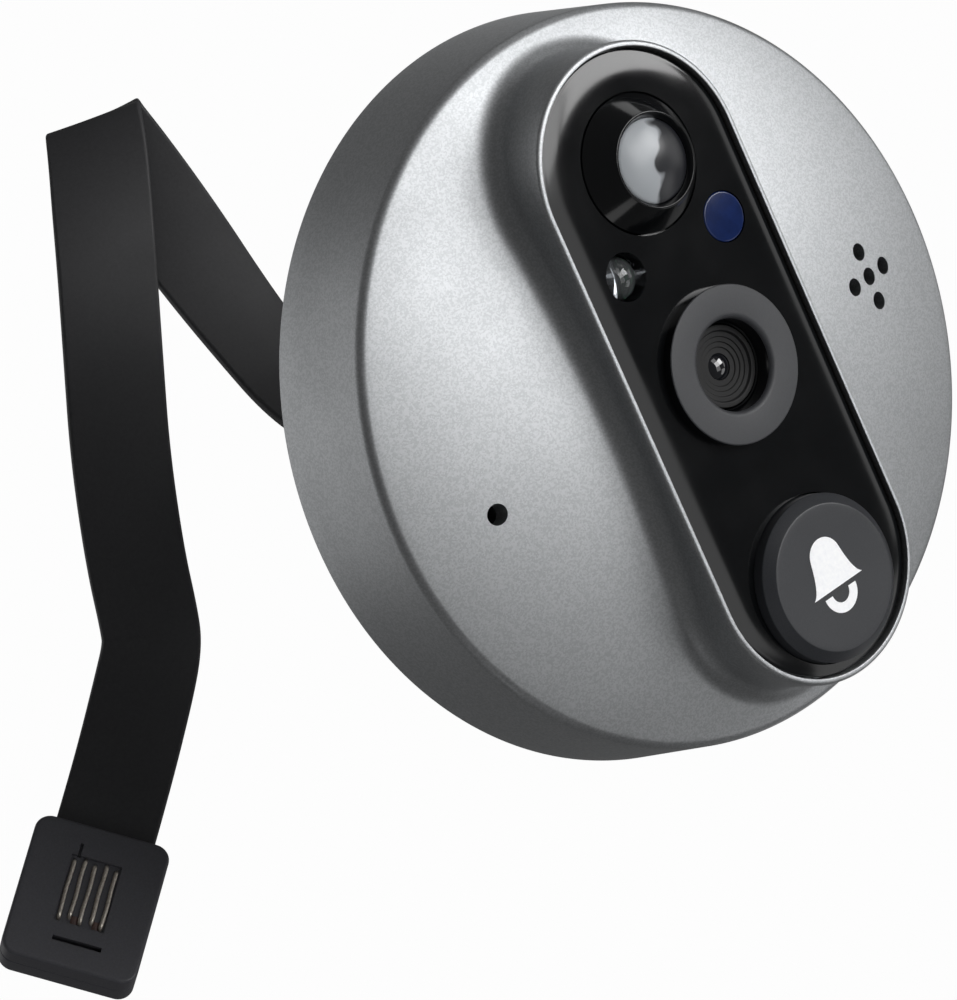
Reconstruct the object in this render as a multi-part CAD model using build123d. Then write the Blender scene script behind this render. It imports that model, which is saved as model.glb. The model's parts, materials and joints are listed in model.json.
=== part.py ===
"""Round video doorbell: the outdoor unit of a door-viewer camera, with its flat cable and plug.

Most pieces are drawn as the front view shows them: local X is right, local Y is up and local Z is
the height above the door. place() turns such a piece into the part's own frame, where +Z is up,
-Y points away from the door and the origin is the centre of the back, on the door's face.
The flat cable and its plug are drawn straight in the part's frame. All sizes are in millimetres.
"""

import os
from math import atan2, cos, hypot, pi, radians, sin, sqrt, tan

from build123d import *

# ---------------------------------------------------------------- casing
rear_radius = 32.5  # rim where it meets the door
rim_height = 10.85  # door to the crease between rim and dome
rim_taper = 0.85  # how much the rim narrows on its way to the crease
dome_radius = 95.0  # ball radius of the front's dome
wall = 1.6
crease_fillet = 1.0
rear_fillet = 0.4

# ---------------------------------------------------------------- raised boss and its panel
boss_rise = 2.723  # top of the boss above the dome's highest point
pocket_radius = 10.25  # half the width of the pocket that takes the panel
lip_wall = 0.55
lip_fillet = 0.35
boss_margin = 2.85  # crease to the end of the boss
foot_fillet = 2.2
ledge_width = 1.05
panel_recess = 0.25
panel_thickness = 1.5
panel_gap = 0.15
gasket_thickness = 0.2

# ---------------------------------------------------------------- back of the unit
pad_thickness = 1.0
plate_thickness = 2.0
plate_gap = 0.45  # rear plate's edge to the casing's inside at the door
island_radius = 9.0  # raised middle of the rear plate, level with the door's face
pad_gap = 0.5
seal_height = 0.6
seal_depth = 0.75
insert_radius = 2.1
insert_thread_radius = 1.25
insert_length = 5.0
insert_offset = 4.6
insert_boss_wall = 0.9

# ---------------------------------------------------------------- boards and screws
board_height = 6.0  # door to the back of the main board
board_thickness = 1.2
board_gap = 0.2
front_board_thickness = 1.0
front_board_gap = 0.3
front_bay = 3.65  # front board to the panel's underside
thread_gap = 0.02
hole_gap = 0.12
pillar_radius = 2.2
cover_screw_radius = 0.98
cover_screw_head = 1.75
cover_screw_length = 5.3
standoff_circle = 22.0
standoff_radius = 2.2
board_screw_radius = 0.78
board_screw_head = 1.4
board_screw_head_height = 0.8
spacer_radius = 1.75
spacer_x = 6.3
spacer_z = 7.2

# ---------------------------------------------------------------- sensors behind the panel
pir_above_end = 0.6  # the motion sensor's axis above the centre of the panel's round end
pir_base_radius = 5.88
pir_rim_radius = 4.08
pir_rim_height = 2.35  # collar's rim above the panel
pir_flange_radius = 6.8
pir_lens_radius = 3.6
pir_lens_rise = 0.9
pir_can_radius = 3.9
pir_can_height = 4.2
side_window_x = 5.9
side_window_drop = 7.6  # motion sensor's axis down to the two small windows
led_radius = 1.95
filter_radius = 2.15
camera_ring_radius = 6.74
camera_ring_rise = 1.0
camera_neck_radius = 5.2
camera_mouth_radius = 4.2
barrel_radius = 3.5
barrel_drop = 0.7  # panel's face down to the front of the lens barrel
barrel_length = 7.2
front_lens_drop = 0.5  # front of the barrel down to the rim of its glass
front_lens_radius = 1.15
holder_side = 9.0
flange_thickness = 0.75

# ---------------------------------------------------------------- bell button
button_below_end = 2.0  # the button's axis below the centre of the panel's round end
button_radius = 7.16
button_top_radius = 6.25
button_rise = 1.75
button_chamfer_height = 0.75
button_wall = 1.3
button_flange_radius = 7.9
button_flange_gap = 0.05
button_travel = 0.35
stem_radius = 2.0
stem_length = 0.35
plunger_radius = 1.5
switch_side = 6.2
switch_clearance = 0.15  # left between the pressed stem and the switch's cover
switch_cover_thickness = 0.2
bell_half_width = 2.95
bell_height = 4.47
bell_top = 3.6  # the bell's crown above the button's axis
bell_inlay = 0.25

# ---------------------------------------------------------------- sound
microphone_x = -23.5
sound_line_z = -1.5
microphone_hole_radius = 0.9
speaker_x = 21.6
speaker_hole_radius = 0.78
speaker_hole_pitch = 2.33
speaker_radius = 7.2
speaker_height = 1.8
boot_radius = 2.6

# ---------------------------------------------------------------- flat cable and its plug
cable_width = 9.4
cable_thickness = 1.0
cable_gap = 0.1
grommet_half_width = 5.9
grommet_half_height = 1.35
grommet_outside = 4.0
connector_height = 2.2
plug_width = 12.7
plug_length = 14.4
plug_front_thickness = 1.9
plug_back_thickness = 2.1
plug_corner = 1.5
plug_edge = 0.3
plug_wall = 1.2
contact_count = 5
contact_pitch = 1.0
contact_radius = 0.2
contact_top = 3.4  # plug's cable end to the contacts' upper ends
contact_length = 6.6

cable_route = [
    (0.0, connector_height - board_height, 0.0),
    (0.0, 8.6, 0.0),
    (-0.4, 21.2, -1.0),
    (-0.9, 32.8, -1.2),
    (-1.2, 41.1, 2.1),
    (-0.9, 46.8, 11.6),
    (-0.57, 51.6, 22.77),
    (-0.41, 54.51, 29.05),
    (-0.36, 55.96, 31.83),
    (-0.48, 56.13, 33.09),
    (-1.15, 55.32, 33.47),
    (-1.79, 54.62, 32.95),
    (-3.42, 53.3, 30.84),
    (-5.84, 52.0, 27.32),
    (-9.53, 50.41, 21.41),
    (-13.43, 49.75, 13.89),
    (-17.06, 49.87, 5.79),
    (-20.08, 50.21, -3.23),
    (-21.47, 50.5, -9.27),
    (-22.27, 50.67, -11.56),
    (-24.88, 51.07, -14.69),
    (-30.45, 51.62, -20.59),
    (-35.92, 49.95, -24.27),
]
# the way the cable's width points at each point of the route, as the cable twists
cable_width_ways = [
    (1.0, 0.0, 0.0),
    (1.0, 0.0, 0.0),
    (1.0, 0.0, 0.0),
    (1.0, 0.04, 0.0),
    (1.0, 0.1, -0.04),
    (1.0, -0.01, -0.04),
    (0.943, -0.324, 0.074),
    (0.884, -0.458, 0.093),
    (0.839, -0.543, 0.041),
    (0.828, -0.559, -0.048),
    (0.823, -0.563, -0.076),
    (0.818, -0.567, -0.099),
    (0.813, -0.536, -0.228),
    (0.824, -0.451, -0.343),
    (0.864, -0.328, -0.382),
    (0.865, -0.318, -0.388),
    (0.877, -0.329, -0.35),
    (0.881, -0.329, -0.34),
    (0.815, -0.301, -0.496),
    (0.732, -0.279, -0.621),
    (0.651, -0.413, -0.636),
    (0.609, -0.483, -0.629),
    (0.591, -0.491, -0.64),
]
run_share = 0.45  # part of the shorter run that each arc takes up

# ---------------------------------------------------------------- worked out from the sizes above
crease_radius = rear_radius - rim_taper
dome_centre = rim_height - sqrt(dome_radius**2 - crease_radius**2)
lip_height = dome_centre + dome_radius + boss_rise
boss_radius = pocket_radius + lip_wall
panel_span = crease_radius - boss_margin - boss_radius  # half the distance between the round ends
bay_radius = pocket_radius - ledge_width
panel_top = lip_height - panel_recess
panel_bottom = panel_top - panel_thickness
ledge_height = panel_bottom - gasket_thickness
plate_bottom = pad_thickness
plate_top = plate_bottom + plate_thickness
plate_radius = rear_radius - wall - plate_gap
board_top = board_height + board_thickness
front_board_top = panel_bottom - front_bay
front_board_bottom = front_board_top - front_board_thickness
pillar_circle = crease_radius - wall - pillar_radius - 0.25
board_radius = pillar_circle - pillar_radius - board_gap
pir_z = panel_span + pir_above_end
side_window_z = pir_z - side_window_drop
button_z = -panel_span - button_below_end
button_top = panel_top + button_rise
flange_top = panel_bottom - button_flange_gap
flange_bottom = flange_top - flange_thickness
stem_bottom = flange_bottom - stem_length
switch_cover_top = stem_bottom - button_travel - switch_clearance
barrel_top = panel_top - barrel_drop
barrel_bottom = barrel_top - barrel_length

parts = {}


def bar(radius, low, high, at=(0, 0)):
    """Round bar that stands on the door side at low and ends at high."""
    return Pos(at[0], at[1], (low + high) / 2) * Cylinder(radius, high - low)


def ring(outer, inner, low, high, at=(0, 0)):
    """Tube wall between two radii."""
    return bar(outer, low, high, at) - bar(inner, low, high, at)


def taper(low_radius, high_radius, low, high, at=(0, 0)):
    """Round cone frustum between two heights."""
    return Pos(at[0], at[1], (low + high) / 2) * Cone(low_radius, high_radius, high - low)


def block(width, length, low, high, at=(0, 0)):
    """Rectangular block between two heights."""
    return Pos(at[0], at[1], (low + high) / 2) * Box(width, length, high - low)


def stadium(radius, low, high):
    """Upright obround of the boss family: straight over the panel's span, with round ends."""
    outline = Rot(0, 0, 90) * SlotCenterToCenter(2 * panel_span, 2 * radius)
    return Pos(0, 0, low) * extrude(outline, high - low)


def place(shape):
    """Front-view piece moved into the part's own frame."""
    return Plane(origin=(0, 0, 0), x_dir=(1, 0, 0), z_dir=(0, -1, 0)) * shape


def keep(name, *pieces):
    """Front-view solids stored as one node."""
    solids = [solid for piece in pieces for solid in place(piece).solids()]
    parts[name] = solids[0] if len(solids) == 1 else Compound(children=solids)


def around(radius, angles):
    """Places on a circle about the unit's axis."""
    return [(radius * cos(radians(angle)), radius * sin(radians(angle))) for angle in angles]


def dome_height(radius, inset=0.0):
    """Height of the dome, or of its inside, at a distance from the unit's axis."""
    return dome_centre + sqrt((dome_radius - inset) ** 2 - radius**2)


def casing_form(inset):
    """Solid under the rim and the dome, pulled in by inset on every side but the door's."""
    rear = rear_radius - inset
    crease = crease_radius - inset
    side = Polyline((0, 0), (rear, 0), (crease, dome_height(crease, inset)))
    middle = (crease / 2, dome_height(crease / 2, inset))
    dome = ThreePointArc(side @ 1, middle, (0, dome_height(0, inset)))
    spine = Line(dome @ 1, (0, 0))
    return revolve(Plane.XZ * make_face([side, dome, spine]), Axis.Z)


def off_boss_outline(edge):
    """How far an edge's middle lies from the boss's outer wall, in the front view."""
    middle = edge @ 0.5
    beyond = max(abs(middle.Y) - panel_span, 0.0)
    return abs(hypot(middle.X, beyond) - boss_radius)


def screw(shank_radius, head_radius, head_height, length, tip, at, points_up):
    """Cross-head screw whose tip is at a height; its head is behind the tip on the driver's side."""
    way = -1 if points_up else 1
    seat = tip + way * length
    top = seat + way * head_height
    body = bar(shank_radius, min(tip, seat), max(tip, seat), at)
    body += bar(head_radius, min(seat, top), max(seat, top), at)
    floor = top - way * head_height / 2
    for width, length_across in ((0.35, head_radius * 1.1), (head_radius * 1.1, 0.35)):
        body -= block(width, length_across, min(floor, top), max(floor, top), at)
    return body


pillar_places = around(pillar_circle, (45, 135, 225, 315))
standoff_places = around(standoff_circle, (60, 120, 240, 300))
spacer_places = [(x, z) for x in (-spacer_x, spacer_x) for z in (-spacer_z, spacer_z)]
insert_places = [(0, -insert_offset), (0, insert_offset)]
microphone_place = (microphone_x, sound_line_z)
speaker_place = (speaker_x, sound_line_z)
pitch = speaker_hole_pitch
speaker_hole_places = [
    (speaker_x + x, sound_line_z + z)
    for x, z in ((0, 0), (-pitch, 0), (pitch, 0), (0, -pitch), (0, pitch))
]


# ================================================================ casing
def front_cover():
    """Silver shell: rim, domed front and the raised obround boss with its panel pocket."""
    shell = casing_form(0) + stadium(boss_radius, rim_height, lip_height)
    foot = [
        edge
        for edge in shell.edges().filter_by(Axis.Z, reverse=True)
        if off_boss_outline(edge) < 0.02 and edge.center().Z < lip_height - 0.1
    ]
    shell = fillet(foot, foot_fillet)
    lip = [edge for edge in shell.edges() if abs(edge.center().Z - lip_height) < 1e-3]
    shell = fillet(lip, lip_fillet)
    circles = shell.edges().filter_by(GeomType.CIRCLE)
    crease = [edge for edge in circles if abs(edge.radius - crease_radius) < 1e-3]
    shell = fillet(crease, crease_fillet)
    circles = shell.edges().filter_by(GeomType.CIRCLE)
    rear = [edge for edge in circles if abs(edge.radius - rear_radius) < 1e-3]
    shell = fillet(rear, rear_fillet)

    pillars = [bar(pillar_radius, plate_top, lip_height, at) for at in pillar_places]
    pillars = [pillar & casing_form(wall / 2) for pillar in pillars]
    shell -= casing_form(wall)
    for pillar in pillars:
        shell += pillar
    shell -= stadium(bay_radius, plate_top, ledge_height)
    shell -= stadium(pocket_radius, ledge_height, lip_height + 1)
    for at in pillar_places:
        depth = plate_bottom + 1.2 + cover_screw_length + 0.5
        shell -= bar(cover_screw_radius + thread_gap, plate_top - 1, depth, at)
    shell -= bar(microphone_hole_radius, board_top, lip_height, microphone_place)
    for at in speaker_hole_places:
        shell -= bar(speaker_hole_radius, board_top, lip_height, at)
    keep("front_cover", shell)


def rear_cover():
    """Black back plate with the inserts' bosses, the board's standoffs and the cable's slot."""
    plate = bar(plate_radius, plate_bottom, plate_top) + bar(island_radius, 0, plate_bottom)
    boss_top = board_height - 0.2
    for at in insert_places:
        plate += bar(insert_radius + insert_boss_wall, plate_top, boss_top, at)
    for at in standoff_places:
        plate += bar(standoff_radius, plate_top, board_height, at)
    for at in insert_places:
        plate -= bar(insert_radius, 0, insert_length, at)
    for at in standoff_places:
        plate -= bar(board_screw_radius + thread_gap, plate_top - 0.5, board_height, at)
    for at in pillar_places:
        plate -= bar(cover_screw_radius + hole_gap, plate_bottom, plate_top, at)
        head_room = plate_bottom + 1.2
        plate -= bar(cover_screw_head + hole_gap, plate_bottom, head_room, at)
    plate -= block(2 * grommet_half_width, 2 * grommet_half_height, 0, board_height)
    middle = (plate_bottom + plate_top) / 2
    low = middle - seal_height / 2
    plate -= ring(plate_radius + 1, plate_radius - seal_depth, low, middle + seal_height / 2)
    keep("rear_cover", plate)


def rear_seal():
    """Rubber ring in the rear plate's edge, which seals it to the casing."""
    middle = (plate_bottom + plate_top) / 2
    low = middle - seal_height / 2
    high = middle + seal_height / 2
    keep("rear_seal", casing_form(wall + 0.02) & ring(rear_radius, plate_radius - seal_depth, low, high))


def adhesive_pad():
    """Foam ring that sticks the unit to the door and covers the cover's screws."""
    keep("adhesive_pad", ring(plate_radius, island_radius + pad_gap, 0, pad_thickness))


def fasteners():
    """Threaded inserts for the bracket's screws, and the unit's own screws and spacers."""
    bodies = []
    for at in insert_places:
        insert = ring(insert_radius, insert_thread_radius, 0, insert_length, at)
        groove = ring(insert_radius + 1, insert_radius - 0.2, 2.1, 2.9, at)
        bodies.append(insert - groove)
    keep("threaded_inserts", *bodies)
    tip = plate_bottom + 1.2 + cover_screw_length
    bodies = [
        screw(cover_screw_radius, cover_screw_head, 1.05, cover_screw_length, tip, at, True)
        for at in pillar_places
    ]
    keep("cover_screws", *bodies)
    tip = board_top - 3.4
    bodies = [
        screw(board_screw_radius, board_screw_head, board_screw_head_height, 3.4, tip, at, False)
        for at in standoff_places
    ]
    keep("main_board_screws", *bodies)
    bodies = [
        bar(spacer_radius, board_top, front_board_bottom, at)
        - bar(board_screw_radius + thread_gap, front_board_bottom - 3, front_board_bottom, at)
        for at in spacer_places
    ]
    keep("board_spacers", *bodies)
    tip = front_board_top - 3.4
    bodies = [
        screw(board_screw_radius, board_screw_head, board_screw_head_height, 3.4, tip, at, False)
        for at in spacer_places
    ]
    keep("front_board_screws", *bodies)


# ================================================================ panel
def front_panel():
    """Black obround window with holes for the sensors, the camera and the button."""
    panel = stadium(pocket_radius - panel_gap, panel_bottom, panel_top)
    rim = [edge for edge in panel.edges() if abs(edge.center().Z - panel_top) < 1e-3]
    panel = fillet(rim, 0.25)
    for radius, at in (
        (pir_base_radius + 0.1, (0, pir_z)),
        (led_radius + 0.1, (-side_window_x, side_window_z)),
        (filter_radius + 0.05, (side_window_x, side_window_z)),
        (camera_neck_radius + 0.1, (0, 0)),
        (button_radius + hole_gap, (0, button_z)),
    ):
        panel -= bar(radius, panel_bottom, panel_top, at)
    keep("front_panel", panel)


def panel_gasket():
    """Adhesive frame between the panel and the ledge it sits on."""
    frame = stadium(pocket_radius - panel_gap, ledge_height, panel_bottom)
    frame -= stadium(bay_radius + 0.1, ledge_height, panel_bottom)
    keep("panel_gasket", frame)


def inner_frame():
    """Carrier under the panel that keeps the sensors and the camera in line and apart in light."""
    low = front_board_top
    floor = panel_bottom - 1.55
    frame = stadium(bay_radius - 0.2, low, panel_bottom) - stadium(bay_radius - 1.2, low, floor)
    frame -= block(40, 60, low, panel_bottom, (0, -10.5 - 30))
    for radius, at in (
        (pir_flange_radius + 0.1, (0, pir_z)),
        (led_radius + 0.35, (-side_window_x, side_window_z)),
        (filter_radius - 0.5, (side_window_x, side_window_z)),
        (camera_neck_radius + 0.1, (0, 0)),
    ):
        frame -= bar(radius, low, panel_bottom, at)
    keep("inner_frame", frame)


# ================================================================ motion sensor
def motion_sensor():
    """Conical collar, domed lens and the sensor's can below them."""
    at = (0, pir_z)
    rim = panel_top + pir_rim_height
    flange_low = panel_bottom - flange_thickness
    seat = panel_top + 0.25
    collar = bar(pir_flange_radius, flange_low, panel_bottom, at)
    collar += bar(pir_base_radius, panel_bottom, panel_top, at)
    collar += taper(pir_base_radius, pir_rim_radius, panel_top, rim, at)
    rim_edges = [edge for edge in collar.edges() if abs(edge.center().Z - rim) < 1e-3]
    collar = fillet(rim_edges, 0.15)
    collar -= bar(pir_can_radius + 0.45, flange_low, seat, at)
    collar -= bar(pir_lens_radius + 0.03, seat, rim, at)
    keep("motion_sensor_collar", collar)

    lens_shoulder = rim - 0.5
    outer_ball = (pir_lens_radius**2 + pir_lens_rise**2) / (2 * pir_lens_rise)
    lens_wall = 0.6

    def domed(radius, shoulder, ball, low):
        tall = bar(radius, low, shoulder + 2 * pir_lens_rise, at)
        apex = lens_shoulder + pir_lens_rise - (outer_ball - ball)
        return tall & (Pos(at[0], at[1], apex - ball) * Sphere(ball))

    lens = domed(pir_lens_radius, lens_shoulder, outer_ball, seat - 0.6)
    lens += bar(pir_can_radius + 0.4, seat - 0.6, seat, at)
    inner_radius = pir_lens_radius - lens_wall
    lens -= domed(inner_radius, lens_shoulder, outer_ball - lens_wall, seat - 0.6)
    keep("motion_sensor_lens", lens)

    top = front_board_top + pir_can_height
    can = bar(pir_can_radius + 0.35, front_board_top, front_board_top + 0.5, at)
    can += bar(pir_can_radius, front_board_top, top, at)
    can -= block(4.0, 3.0, top - 0.4, top, at)
    keep("motion_sensor", can)
    keep("motion_sensor_filter", block(4.0, 3.0, top - 0.4, top - 0.1, at))


def light_pieces():
    """Infrared lamp with its reflector cup, and the light sensor with its dark blue filter."""
    at = (-side_window_x, side_window_z)
    shoulder = panel_top - led_radius - 0.02
    lamp = bar(led_radius, front_board_top, shoulder, at)
    lamp += Pos(at[0], at[1], shoulder) * Sphere(led_radius)
    lamp += bar(led_radius + 0.25, front_board_top, front_board_top + 0.6, at)
    cup = taper(0.5, 1.0, shoulder - 1.6, shoulder - 0.9, at)
    keep("infrared_lamp", lamp - cup)
    keep("lamp_reflector", cup - taper(0.25, 0.8, shoulder - 1.4, shoulder - 0.9, at))
    at = (side_window_x, side_window_z)
    keep("light_sensor", block(2.0, 2.0, front_board_top, front_board_top + 0.7, at))
    keep("light_sensor_filter", bar(filter_radius, panel_bottom, panel_top - 0.06, at))


# ================================================================ camera
def camera():
    """Grey ring, lens barrel with its glass, threaded holder, image sensor and its board."""
    ring_top = panel_top + camera_ring_rise
    neck_low = panel_bottom - 1.5
    bezel = bar(camera_ring_radius, panel_top, ring_top)
    edge = [edge for edge in bezel.edges() if abs(edge.center().Z - ring_top) < 1e-3]
    bezel = chamfer(edge, 0.12)
    bezel += bar(camera_neck_radius, neck_low, panel_top)
    bore = barrel_radius + 0.12
    bezel -= taper(bore + 0.15, camera_mouth_radius, barrel_top, ring_top)
    bezel -= bar(bore, neck_low, barrel_top)
    keep("camera_ring", bezel)

    seat = barrel_top - front_lens_drop
    sight = taper(front_lens_radius, barrel_radius - 0.5, seat, barrel_top)
    barrel = bar(barrel_radius, barrel_bottom, barrel_top) - sight
    barrel -= bar(front_lens_radius, barrel_bottom, seat)
    keep("lens_barrel", barrel)
    rise = 0.35
    ball = (front_lens_radius**2 + rise**2) / (2 * rise)
    glass = bar(front_lens_radius, seat - 0.9, seat - rise)
    cap = bar(front_lens_radius, seat - rise, seat + 0.1) & (Pos(0, 0, seat - ball) * Sphere(ball))
    keep("front_lens", glass + cap)
    keep("rear_lens", bar(front_lens_radius, barrel_bottom + 0.5, barrel_bottom + 1.5))

    stack = board_top + 0.8
    holder_low = stack + 0.8
    holder = block(holder_side, holder_side, holder_low, front_board_top + 0.5)
    holder -= block(holder_side - 2, holder_side - 2, holder_low, holder_low + 1.6)
    holder -= bar(barrel_radius + 0.03, holder_low, front_board_top + 0.5)
    keep("lens_holder", holder)
    keep("image_sensor", block(5.0, 5.0, holder_low, holder_low + 0.8))
    keep("camera_board", block(11.0, 11.0, stack, stack + 0.8))
    keep("camera_connector", block(6.0, 3.0, board_top, stack))


# ================================================================ bell button
def bell_outline():
    """Plain bell with a half-round clapper, centred on the button's axis."""
    top = bell_top
    foot = top - bell_height
    half = bell_half_width
    right = Spline((0, top), (1.56, 2.3), (1.8, 0.95), (half, foot), tangents=((1, 0), (1, -0.7)))
    left = Spline((-half, foot), (-1.8, 0.95), (-1.56, 2.3), (0, top), tangents=((1, 0.7), (1, 0)))
    bell = make_face([right, Line((half, foot), (-half, foot)), left])
    clapper = Circle(1.85) - Circle(0.97)
    clapper = Pos(0, foot - 0.43) * (clapper & Pos(0, -2) * Rectangle(8, 4))
    return bell, clapper


def button():
    """Bell button: moulded cap with a retaining flange and stem, and its inlaid white symbol."""
    at = (0, button_z)
    shoulder = button_top - button_chamfer_height
    cap = bar(button_radius, flange_top, shoulder, at)
    cap += taper(button_radius, button_top_radius, shoulder, button_top, at)
    top_edge = [edge for edge in cap.edges() if abs(edge.center().Z - button_top) < 1e-3]
    cap = fillet(top_edge, 0.25)
    cap -= bar(button_radius - button_wall, flange_top, shoulder - button_wall / 2, at)
    flange = bar(button_flange_radius, flange_bottom, flange_top, at)
    cap += flange & stadium(bay_radius - 0.3, flange_bottom, flange_top)
    cap += bar(stem_radius, stem_bottom, shoulder, at)
    symbol = [
        Pos(at[0], at[1], button_top - bell_inlay) * extrude(sketch, bell_inlay)
        for sketch in bell_outline()
    ]
    for piece in symbol:
        cap -= piece
    keep("bell_button", cap)
    keep("bell_symbol", *symbol)


def bell_switch():
    """Tact switch under the button: body, cover plate, snap dome and the plunger that travels."""
    at = (0, button_z)
    cover_top = switch_cover_top
    body_top = cover_top - switch_cover_thickness
    bore = plunger_radius + 0.08
    body = block(switch_side, switch_side, front_board_top, body_top, at)
    keep("switch_body", body - bar(bore, front_board_top + 0.5, body_top, at))
    cover = block(switch_side, switch_side, body_top, cover_top, at)
    keep("switch_cover", cover - bar(bore, body_top, cover_top, at))
    keep("switch_dome", bar(plunger_radius, front_board_top + 0.5, front_board_top + 0.65, at))
    low = front_board_top + 0.65 + button_travel + 0.1
    keep("switch_plunger", bar(plunger_radius, low, stem_bottom, at))


# ================================================================ boards
def boards():
    """Main board, front board, the link between them and the chips."""
    board = bar(board_radius, board_height, board_top)
    for at in standoff_places:
        board -= bar(board_screw_radius + hole_gap, board_height, board_top, at)
    keep("main_board", board)
    front = stadium(bay_radius - front_board_gap, front_board_bottom, front_board_top)
    for at in spacer_places:
        front -= bar(board_screw_radius + hole_gap, front_board_bottom, front_board_top, at)
    front -= block(holder_side + 0.6, holder_side + 0.6, front_board_bottom, front_board_top)
    keep("front_board", front)
    keep("board_link", block(9.0, 2.5, board_top, front_board_bottom, (0, 12.5)))
    keep("image_processor", block(7.0, 7.0, board_top, board_top + 0.9, (-14.5, 6.5)))
    keep("memory_chip", block(5.0, 4.0, board_top, board_top + 0.8, (-13.5, -9.5)))
    keep("power_coil", bar(2.4, board_top, board_top + 2.2, (11.5, -13.0)))
    rows = [(x, z) for x in (-3.5, 0.0, 3.5) for z in (-12.5, -15.5)]
    keep("capacitors", *[block(1.6, 0.8, board_top, board_top + 0.8, at) for at in rows])
    low = board_height - connector_height
    keep("cable_connector", block(cable_width + 1.2, 2.6, low, board_height))


# ================================================================ sound
def sound():
    """Speaker and microphone with the foam and the rubber that seal them to the casing."""
    low = board_top + 0.1
    top = low + speaker_height
    at = (speaker_x - 0.7, sound_line_z)
    frame = ring(speaker_radius, speaker_radius - 0.7, low, top, at)
    frame += ring(speaker_radius, 3.4, low, low + 0.4, at)
    keep("speaker_frame", frame)
    keep("speaker_magnet", ring(3.4, 2.9, low, low + 0.4, at) + bar(2.9, low, low + 1.1, at))
    cone = bar(speaker_radius - 0.7, top - 0.2, top, at)
    keep("speaker_cone", cone + ring(3.25, 3.0, low + 0.6, top - 0.2, at))
    inside = casing_form(wall + 0.02)
    foam = ring(speaker_radius, speaker_radius - 1.5, top, lip_height, at) & inside
    foam -= stadium(bay_radius + wall, top, lip_height)
    keep("speaker_foam", foam)
    inner = microphone_place
    keep("microphone", block(3.0, 2.6, board_top, board_top + 1.0, inner))
    boot = bar(boot_radius, board_top + 1.0, lip_height, inner) & inside
    keep("microphone_boot", boot - bar(microphone_hole_radius, board_top, lip_height, inner))


# ================================================================ flat cable and plug
def cable_grommet():
    """Rubber bush that the cable leaves through: flange inside, tapered nose outside."""
    low = -grommet_outside
    wide = 2 * grommet_half_width
    high = 2 * grommet_half_height
    nose = loft(
        [
            Pos(0, 0, low) * Rectangle(cable_width + 1.6, cable_thickness + 0.9),
            Rectangle(wide, high),
        ]
    )
    bush = nose + block(wide, high, 0, plate_top) + block(wide + 1.2, high + 0.2, plate_top, plate_top + 0.6)
    slot = block(cable_width + 2 * cable_gap, cable_thickness + 2 * cable_gap, low, plate_top + 0.6)
    keep("cable_grommet", bush - slot)


def corner_turn(index):
    """Turn of the route at one of its points, in degrees, and the shorter run beside it."""
    here = Vector(*cable_route[index])
    back = here - Vector(*cable_route[index - 1])
    ahead = Vector(*cable_route[index + 1]) - here
    return back.get_angle(ahead), min(back.length, ahead.length)


def cable_radii():
    """Radius of each corner's arc: as large as its two runs allow."""
    radii = []
    for index in range(1, len(cable_route) - 1):
        turn, shorter = corner_turn(index)
        radii.append(run_share * shorter / tan(radians(turn / 2)))
    return radii


def width_way(marks, distance):
    """Way of the cable's width at a distance along it, between the ways at its marks."""
    after = next(index for index in range(1, len(marks)) if distance <= marks[index] + 1e-6)
    share = (distance - marks[after - 1]) / (marks[after] - marks[after - 1])
    before_way = Vector(*cable_width_ways[after - 1]).normalized()
    after_way = Vector(*cable_width_ways[after]).normalized()
    return before_way * (1 - share) + after_way * share


def flat_cable():
    """Flat cable: a skin through square-cut sections along straight runs and tangent arcs."""
    radii = cable_radii()
    print("cable arc radii, mm:", [round(radius, 1) for radius in radii])
    path = FilletPolyline(*cable_route, radius=radii)
    pieces = path.edges().sort_by(path)
    starts = [0.0]
    for piece in pieces:
        starts.append(starts[-1] + piece.length)
    arc_middles = [(starts[index] + starts[index + 1]) / 2 for index in range(1, len(pieces), 2)]
    marks = [0.0, *arc_middles, starts[-1]]
    sections = []
    for index, piece in enumerate(pieces):
        is_arc = index % 2 == 1
        steps = 2 + int(corner_turn((index + 1) // 2)[0] / 12) if is_arc else 1
        last = steps + 1 if index == len(pieces) - 1 else steps
        for share in [step / steps for step in range(last)]:
            tangent = piece % share
            way = width_way(marks, starts[index] + share * piece.length)
            across = way - tangent * way.dot(tangent)
            plane = Plane(origin=piece @ share, x_dir=across, z_dir=tangent)
            sections.append(plane * Rectangle(cable_width, cable_thickness))
    cable = loft(sections, ruled=True)
    expected = cable_width * cable_thickness * path.length
    print("cable length", round(path.length, 1), "volume", round(cable.volume, 1), "of", round(expected, 1))
    parts["flat_cable"] = cable.solid()


def plug_plane():
    """Plug's own plane: origin where the cable enters, X across, Y back along the cable, Z front."""
    way = (Vector(*cable_route[-1]) - Vector(*cable_route[-2])).normalized()
    across = Vector(*cable_width_ways[-1])
    across = (across - way * across.dot(way)).normalized()
    return Plane(origin=cable_route[-1], x_dir=across, z_dir=way.cross(across))


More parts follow.
